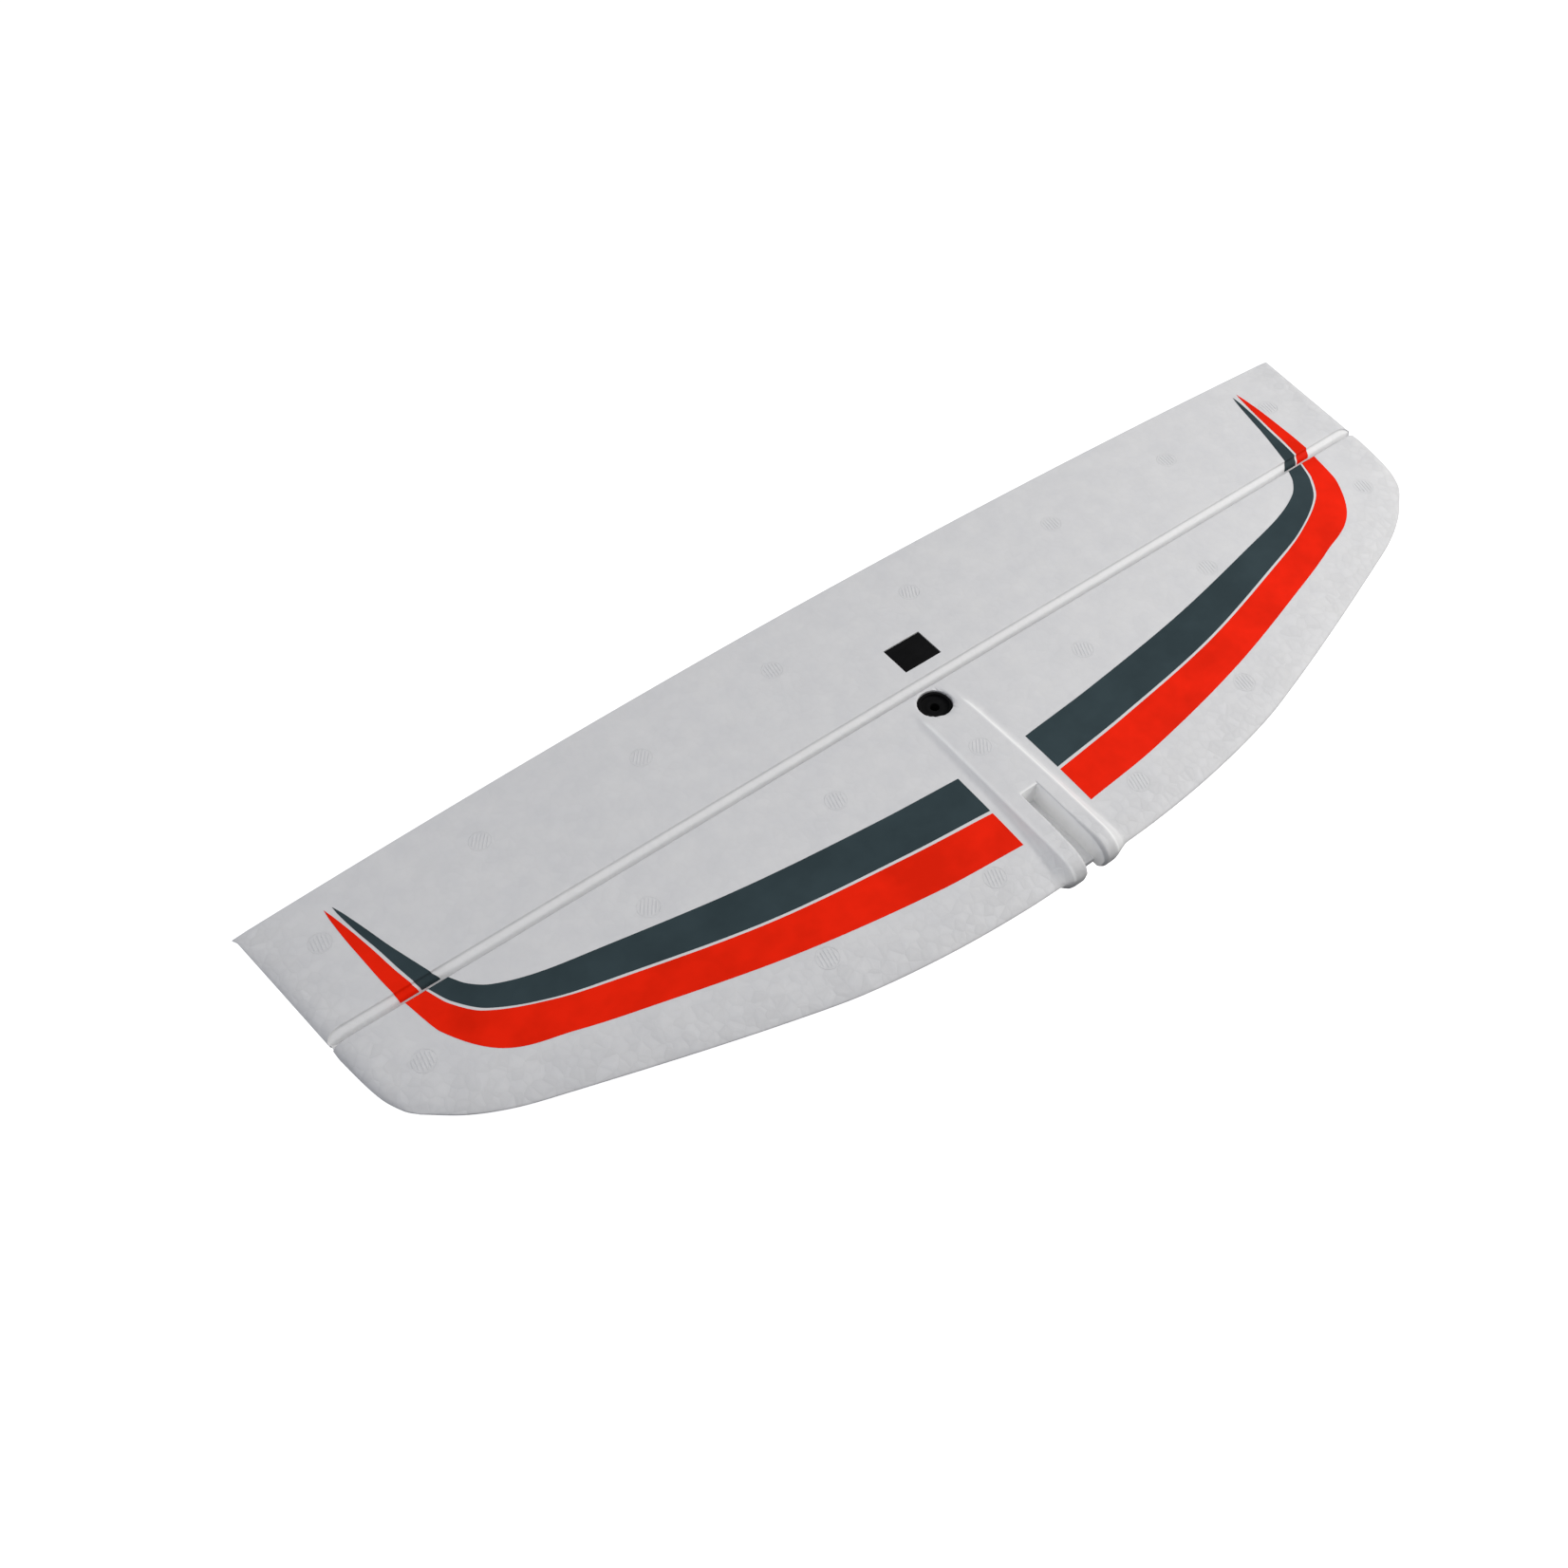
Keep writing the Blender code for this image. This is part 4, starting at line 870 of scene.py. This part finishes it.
def foamFinish():
    # moulded bead foam: cells with sunk borders, clearer by the edges, over a fine skin grain
    finish, nodes, links, shader, where = newFinish("epoFoam")
    warp = nodes.new("ShaderNodeTexNoise")
    warp.inputs["Scale"].default_value = 240
    warp.inputs["Detail"].default_value = 2
    links.new(where, warp.inputs["Vector"])
    shift = nodes.new("ShaderNodeVectorMath")
    shift.operation = "MULTIPLY_ADD"
    shift.inputs[1].default_value = (0.0011,) * 3
    links.new(warp.outputs["Color"], shift.inputs[0])
    links.new(where, shift.inputs[2])
    cells = nodes.new("ShaderNodeTexVoronoi")
    cells.feature = "DISTANCE_TO_EDGE"
    cells.inputs["Scale"].default_value = 1000 / foamLook["bead"]
    links.new(shift.outputs[0], cells.inputs["Vector"])
    tone = nodes.new("ShaderNodeTexVoronoi")
    tone.feature = "F1"
    tone.inputs["Scale"].default_value = 1000 / foamLook["bead"]
    links.new(shift.outputs[0], tone.inputs["Vector"])
    clear = nodes.new("ShaderNodeAttribute")
    clear.attribute_name = "beadClear"
    amount = mathNode(nodes, links, "MULTIPLY_ADD", clear.outputs["Fac"], 0.68)
    amount.node.inputs[2].default_value = 0.32
    border = rampNode(nodes, links, cells.outputs["Distance"], ((0.0, 0.2), (0.14, 0.52), (0.32, 0.90), (0.5, 1.0)))
    dome = mathNode(nodes, links, "MULTIPLY", border, amount)
    fine = noiseNode(nodes, links, where, 2600, 3, 0.6)
    patch = noiseNode(nodes, links, where, 95, 4, 0.62)
    base = rampNode(nodes, links, patch, ((0.34, foamLook["shade"]), (0.66, foamLook["white"])))
    each = nodes.new("ShaderNodeSeparateColor")
    links.new(tone.outputs["Color"], each.inputs["Color"])
    varied = rampNode(nodes, links, each.outputs[0], ((0.0, 0.90), (1.0, 1.0)))
    fade = mathNode(nodes, links, "MULTIPLY", amount, 0.75)
    base = mixNode(nodes, links, base, varied, fade, "MULTIPLY")
    seam = rampNode(nodes, links, cells.outputs["Distance"], ((0.0, 0.955), (0.10, 0.975), (0.36, 1.0)))
    base = mixNode(nodes, links, base, seam, amount, "MULTIPLY")
    # painted light: the colour is mixed towards near-white where the attribute marks the groove, the hub's shoulders
    # and flanks and the slot
    groove = nodes.new("ShaderNodeAttribute")
    groove.attribute_name = "paintedLight"
    base = mixNode(nodes, links, base, foamLook["paintedLight"], groove.outputs["Fac"])
    links.new(base, shader.inputs["Base Color"])
    rough = rampNode(nodes, links, patch, ((0.3, foamLook["rough"] - 0.06), (0.7, foamLook["rough"] + 0.08)))
    links.new(rough, shader.inputs["Roughness"])
    grain = bumpNode(nodes, links, fine, foamLook["grainDepth"], 0.55)
    relief = bumpNode(nodes, links, dome, foamLook["cellDepth"], 0.9, grain)
    links.new(relief, shader.inputs["Normal"])
    shader.inputs["Specular IOR Level"].default_value = 0.42
    shader.inputs["Subsurface Weight"].default_value = 0.12
    shader.inputs["Subsurface Radius"].default_value = (1.0, 0.95, 0.9)
    shader.inputs["Subsurface Scale"].default_value = 0.0012
    return finish


def vinylFinish(name, colour):
    # printed vinyl: slight tone drift, a faint orange peel that lets the beads below show, soft gloss
    finish, nodes, links, shader, where = newFinish(name)
    drift = noiseNode(nodes, links, where, 60, 3, 0.55)
    dark = tuple(c * 0.90 for c in colour)
    light = tuple(min(1.0, c * 1.08 + 0.001) for c in colour)
    links.new(rampNode(nodes, links, drift, ((0.35, dark), (0.65, light))), shader.inputs["Base Color"])
    peel = noiseNode(nodes, links, where, 420, 2, 0.5)
    fine = noiseNode(nodes, links, where, 2400, 2, 0.5)
    rough = rampNode(nodes, links, peel, ((0.3, vinylLook["rough"] - 0.05), (0.7, vinylLook["rough"] + 0.08)))
    links.new(rough, shader.inputs["Roughness"])
    normal = bumpNode(nodes, links, peel, 0.05, 0.6)
    links.new(bumpNode(nodes, links, fine, 0.006, 0.5, normal), shader.inputs["Normal"])
    shader.inputs["Specular IOR Level"].default_value = 0.05
    return finish


def nylonFinish():
    # moulded black nylon: fine spark texture, with flow marks
    finish, nodes, links, shader, where = newFinish("blackNylon")
    grain = noiseNode(nodes, links, where, 3400, 3, 0.6)
    flow = noiseNode(nodes, links, where, 210, 4, 0.6, (1, 2.4, 1))
    dark = plasticLook["black"]
    light = tuple(c * 2.1 for c in dark)
    links.new(rampNode(nodes, links, flow, ((0.35, dark), (0.7, light))), shader.inputs["Base Color"])
    rough = rampNode(nodes, links, flow, ((0.3, plasticLook["rough"]), (0.7, plasticLook["rough"] + 0.16)))
    links.new(rough, shader.inputs["Roughness"])
    links.new(bumpNode(nodes, links, grain, 0.03, 0.6), shader.inputs["Normal"])
    shader.inputs["Specular IOR Level"].default_value = 0.07
    return finish


def stripFinish():
    # pultruded strip: long streaks along the span, broken by resin specks
    finish, nodes, links, shader, where = newFinish("pultrudedStrip")
    streak = noiseNode(nodes, links, where, 900, 4, 0.65, (0.02, 1, 1))
    speck = noiseNode(nodes, links, where, 700, 2, 0.5, (0.2, 1, 1))
    both = mixNode(nodes, links, streak, speck, 0.35)
    links.new(rampNode(nodes, links, both, ((0.35, stripLook["dark"]), (0.68, stripLook["light"]))),
              shader.inputs["Base Color"])
    links.new(rampNode(nodes, links, both, ((0.3, 0.30), (0.7, 0.52))), shader.inputs["Roughness"])
    links.new(bumpNode(nodes, links, streak, 0.02, 0.7), shader.inputs["Normal"])
    return finish


def steelFinish():
    # zinc-plated screw: cloudy tone and fine turning lines
    finish, nodes, links, shader, where = newFinish("zincSteel")
    cloud = noiseNode(nodes, links, where, 900, 4, 0.6)
    low = tuple(c * 0.78 for c in steelLook["zinc"])
    links.new(rampNode(nodes, links, cloud, ((0.3, low), (0.7, steelLook["zinc"]))), shader.inputs["Base Color"])
    links.new(rampNode(nodes, links, cloud, ((0.3, steelLook["rough"]), (0.7, steelLook["rough"] + 0.14))),
              shader.inputs["Roughness"])
    lines = noiseNode(nodes, links, where, 1500, 2, 0.5, (1, 1, 6))
    links.new(bumpNode(nodes, links, lines, 0.01, 0.5), shader.inputs["Normal"])
    shader.inputs["Metallic"].default_value = 1.0
    return finish


foam = foamFinish()
greyVinyl = vinylFinish("greyVinyl", vinylLook["grey"])
orangeVinyl = vinylFinish("orangeVinyl", vinylLook["orange"])
nylon = nylonFinish()
strip = stripFinish()
steel = steelFinish()


# ---- building

def place(piece, finish, body, slot, *nodes):
    paint(piece, finish)
    if nodes:
        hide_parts(*nodes)
    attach(piece, body)


place(makeStabilizer(), foam, "stabilizer", "epo_foam", "stabilizer_foam")
print("stabiliser moulded")
place(makeElevator(), foam, "elevator", "epo_foam", "elevator_foam")
print("elevator moulded")

web = makeHingeWeb()
paint(web, foam)
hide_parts("hinge_web")
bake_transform(web, "stabilizer", "elevator", start=(0, (hingeY - 0.1) * mm, 0), end=(0, (footY + 0.1) * mm, 0))
print("hinge web laid")

for label, side in (("Left", -1), ("Right", 1)):
    node = "_stripe_" + label.lower()
    place(bandOnStab("greyBand" + label, bands["greyRear"], bands["greyFront"], side),
          greyVinyl, "stabilizer", "grey_vinyl", "grey" + node)
    place(bandOnStab("orangeBand" + label, bands["orangeRear"], bands["orangeFront"], side),
          orangeVinyl, "stabilizer", "orange_vinyl", "orange" + node)
    node = "_point_" + label.lower()
    place(pointOnElevator("greyPoint" + label, rearPoints["greyInner"], rearPoints["greyOuter"],
                          rearPoints["bevel"]["grey"], side), greyVinyl, "elevator", "grey_vinyl", "grey" + node)
    place(pointOnElevator("orangePoint" + label, rearPoints["orangeInner"], rearPoints["orangeOuter"],
                          rearPoints["bevel"]["orange"], side), orangeVinyl, "elevator", "orange_vinyl", "orange" + node)
print("vinyl bands laid")

for name, centres, height, sign, body in (
        ("ventMarksStabTop", ventMarks["onStab"], stabTop, 1, "stabilizer"),
        ("ventMarksStabBelow", ventMarks["onStab"][:-1], stabBottom, -1, "stabilizer"),
        ("ventMarksElevatorTop", ventMarks["onElevator"], elevatorTop, 1, "elevator"),
        ("ventMarksElevatorBelow", ventMarks["onElevator"], elevatorBottom, -1, "elevator")):
    place(makeVentMarks(name, centres, height, sign, ventMarks["turn"]), foam, body, "epo_foam")
print("vent marks raised")

place(makeScrewCup(), nylon, "stabilizer", "black_nylon", "screw_cup")
place(edgedCopy("hornBackplate", "horn_backplate", 0.28), nylon, "elevator", "black_nylon", "horn_backplate")
place(edgedCopy("controlHorn", "control_horn", 0.22), nylon, "elevator", "black_nylon", "control_horn")
for label in ("Left", "Right"):
    node = "horn_screw_" + label.lower()
    place(makeHornScrew("hornScrew" + label, node), steel, "elevator", "screw_steel", node)
place(makeStrip("tailSpar", "tail_spar"), strip, "stabilizer", "glass_fibre", "tail_spar")
place(makeStrip("elevatorStiffener", "elevator_stiffener"), strip, "elevator", "glass_fibre", "elevator_stiffener")
print("fittings placed")


# ---- studio

studio = dict(
    cameraAt=(-243.5, -212.2, 420.7), aim=(-61.77, 30.83, 4.4), lens=34.295,
    floorDrop=260, floorSize=12000,
    key=dict(at=(700, -330, 760), size=700, watts=8.2, tint=(1.0, 0.985, 0.955)),
    fill=dict(at=(-1100, 100, 560), size=900, watts=2.1, tint=(0.88, 0.91, 1.0)),
    skyToward=(0.0, 0.5, 0.86), sky=((0.25, 0.15), (0.55, 0.33), (0.92, 0.54)),
)


def pointAt(thing, target):
    thing.rotation_mode = "QUATERNION"
    thing.rotation_quaternion = (Vector(target) * mm - thing.location).to_track_quat("-Z", "Y")


camera = bpy.data.objects.new("camera", bpy.data.cameras.new("camera"))
bpy.context.scene.collection.objects.link(camera)
camera.location = Vector(studio["cameraAt"]) * mm
camera.data.lens = studio["lens"]
camera.data.sensor_width = 36
camera.data.clip_start, camera.data.clip_end = 0.01, 50
pointAt(camera, studio["aim"])
bpy.context.scene.camera = camera


def addLight(name, kind):
    data = bpy.data.lights.new(name, "AREA")
    data.shape = "DISK"
    data.size = kind["size"] * mm
    data.energy = kind["watts"]
    data.color = kind["tint"]
    lamp = bpy.data.objects.new(name, data)
    bpy.context.scene.collection.objects.link(lamp)
    lamp.location = Vector(kind["at"]) * mm
    pointAt(lamp, (0, 0, 0))


addLight("keyLight", studio["key"])
addLight("fillLight", studio["fill"])

world = bpy.data.worlds.new("studio")
bpy.context.scene.world = world
world.use_nodes = True
nodes, links = world.node_tree.nodes, world.node_tree.links
sky = nodes["Background"]
sky.inputs["Color"].default_value = (0.95, 0.965, 1.0, 1)
upward = nodes.new("ShaderNodeTexCoord")
toward = nodes.new("ShaderNodeVectorMath")
toward.operation = "DOT_PRODUCT"
toward.inputs[1].default_value = studio["skyToward"]
links.new(upward.outputs["Generated"], toward.inputs[0])
shift = mathNode(nodes, links, "MULTIPLY_ADD", toward.outputs["Value"], 0.5)
shift.node.inputs[2].default_value = 0.5
seen = nodes.new("ShaderNodeLightPath")     # the sky itself looks pale, whatever light it gives
strength = mathNode(nodes, links, "MAXIMUM", rampNode(nodes, links, shift, studio["sky"]),
                    seen.outputs["Is Camera Ray"])
links.new(strength, sky.inputs["Strength"])

half = studio["floorSize"] / 2 * mm
floorMesh = bpy.data.meshes.new("floor")
below = -studio["floorDrop"] * mm
floorMesh.from_pydata([(x, y, below) for x, y in rectangle(-half, half, -half, half)], [], [(0, 1, 2, 3)])
floor = bpy.data.objects.new("floor", floorMesh)
bpy.context.scene.collection.objects.link(floor)
paleFloor = bpy.data.materials.new("paleFloor")
paleFloor.use_nodes = True
floorShader = paleFloor.node_tree.nodes["Principled BSDF"]
floorShader.inputs["Base Color"].default_value = (0.9, 0.9, 0.9, 1)
floorShader.inputs["Roughness"].default_value = 0.9
floorShader.inputs["Emission Color"].default_value = (1, 1, 1, 1)
floorShader.inputs["Emission Strength"].default_value = 0.6
nodes, links = paleFloor.node_tree.nodes, paleFloor.node_tree.links
side = nodes.new("ShaderNodeNewGeometry")
clearBack = nodes.new("ShaderNodeMixShader")     # seen from below, the floor is clear
links.new(side.outputs["Backfacing"], clearBack.inputs["Fac"])
links.new(floorShader.outputs[0], clearBack.inputs[1])
links.new(nodes.new("ShaderNodeBsdfTransparent").outputs[0], clearBack.inputs[2])
links.new(clearBack.outputs[0], nodes["Material Output"].inputs["Surface"])
floor.data.materials.append(paleFloor)
floor.visible_diffuse = False     # the light that comes up from below is the sky's darker half
floor.visible_glossy = False

view = bpy.context.scene.view_settings
view.view_transform = "Standard"
view.look = "None"
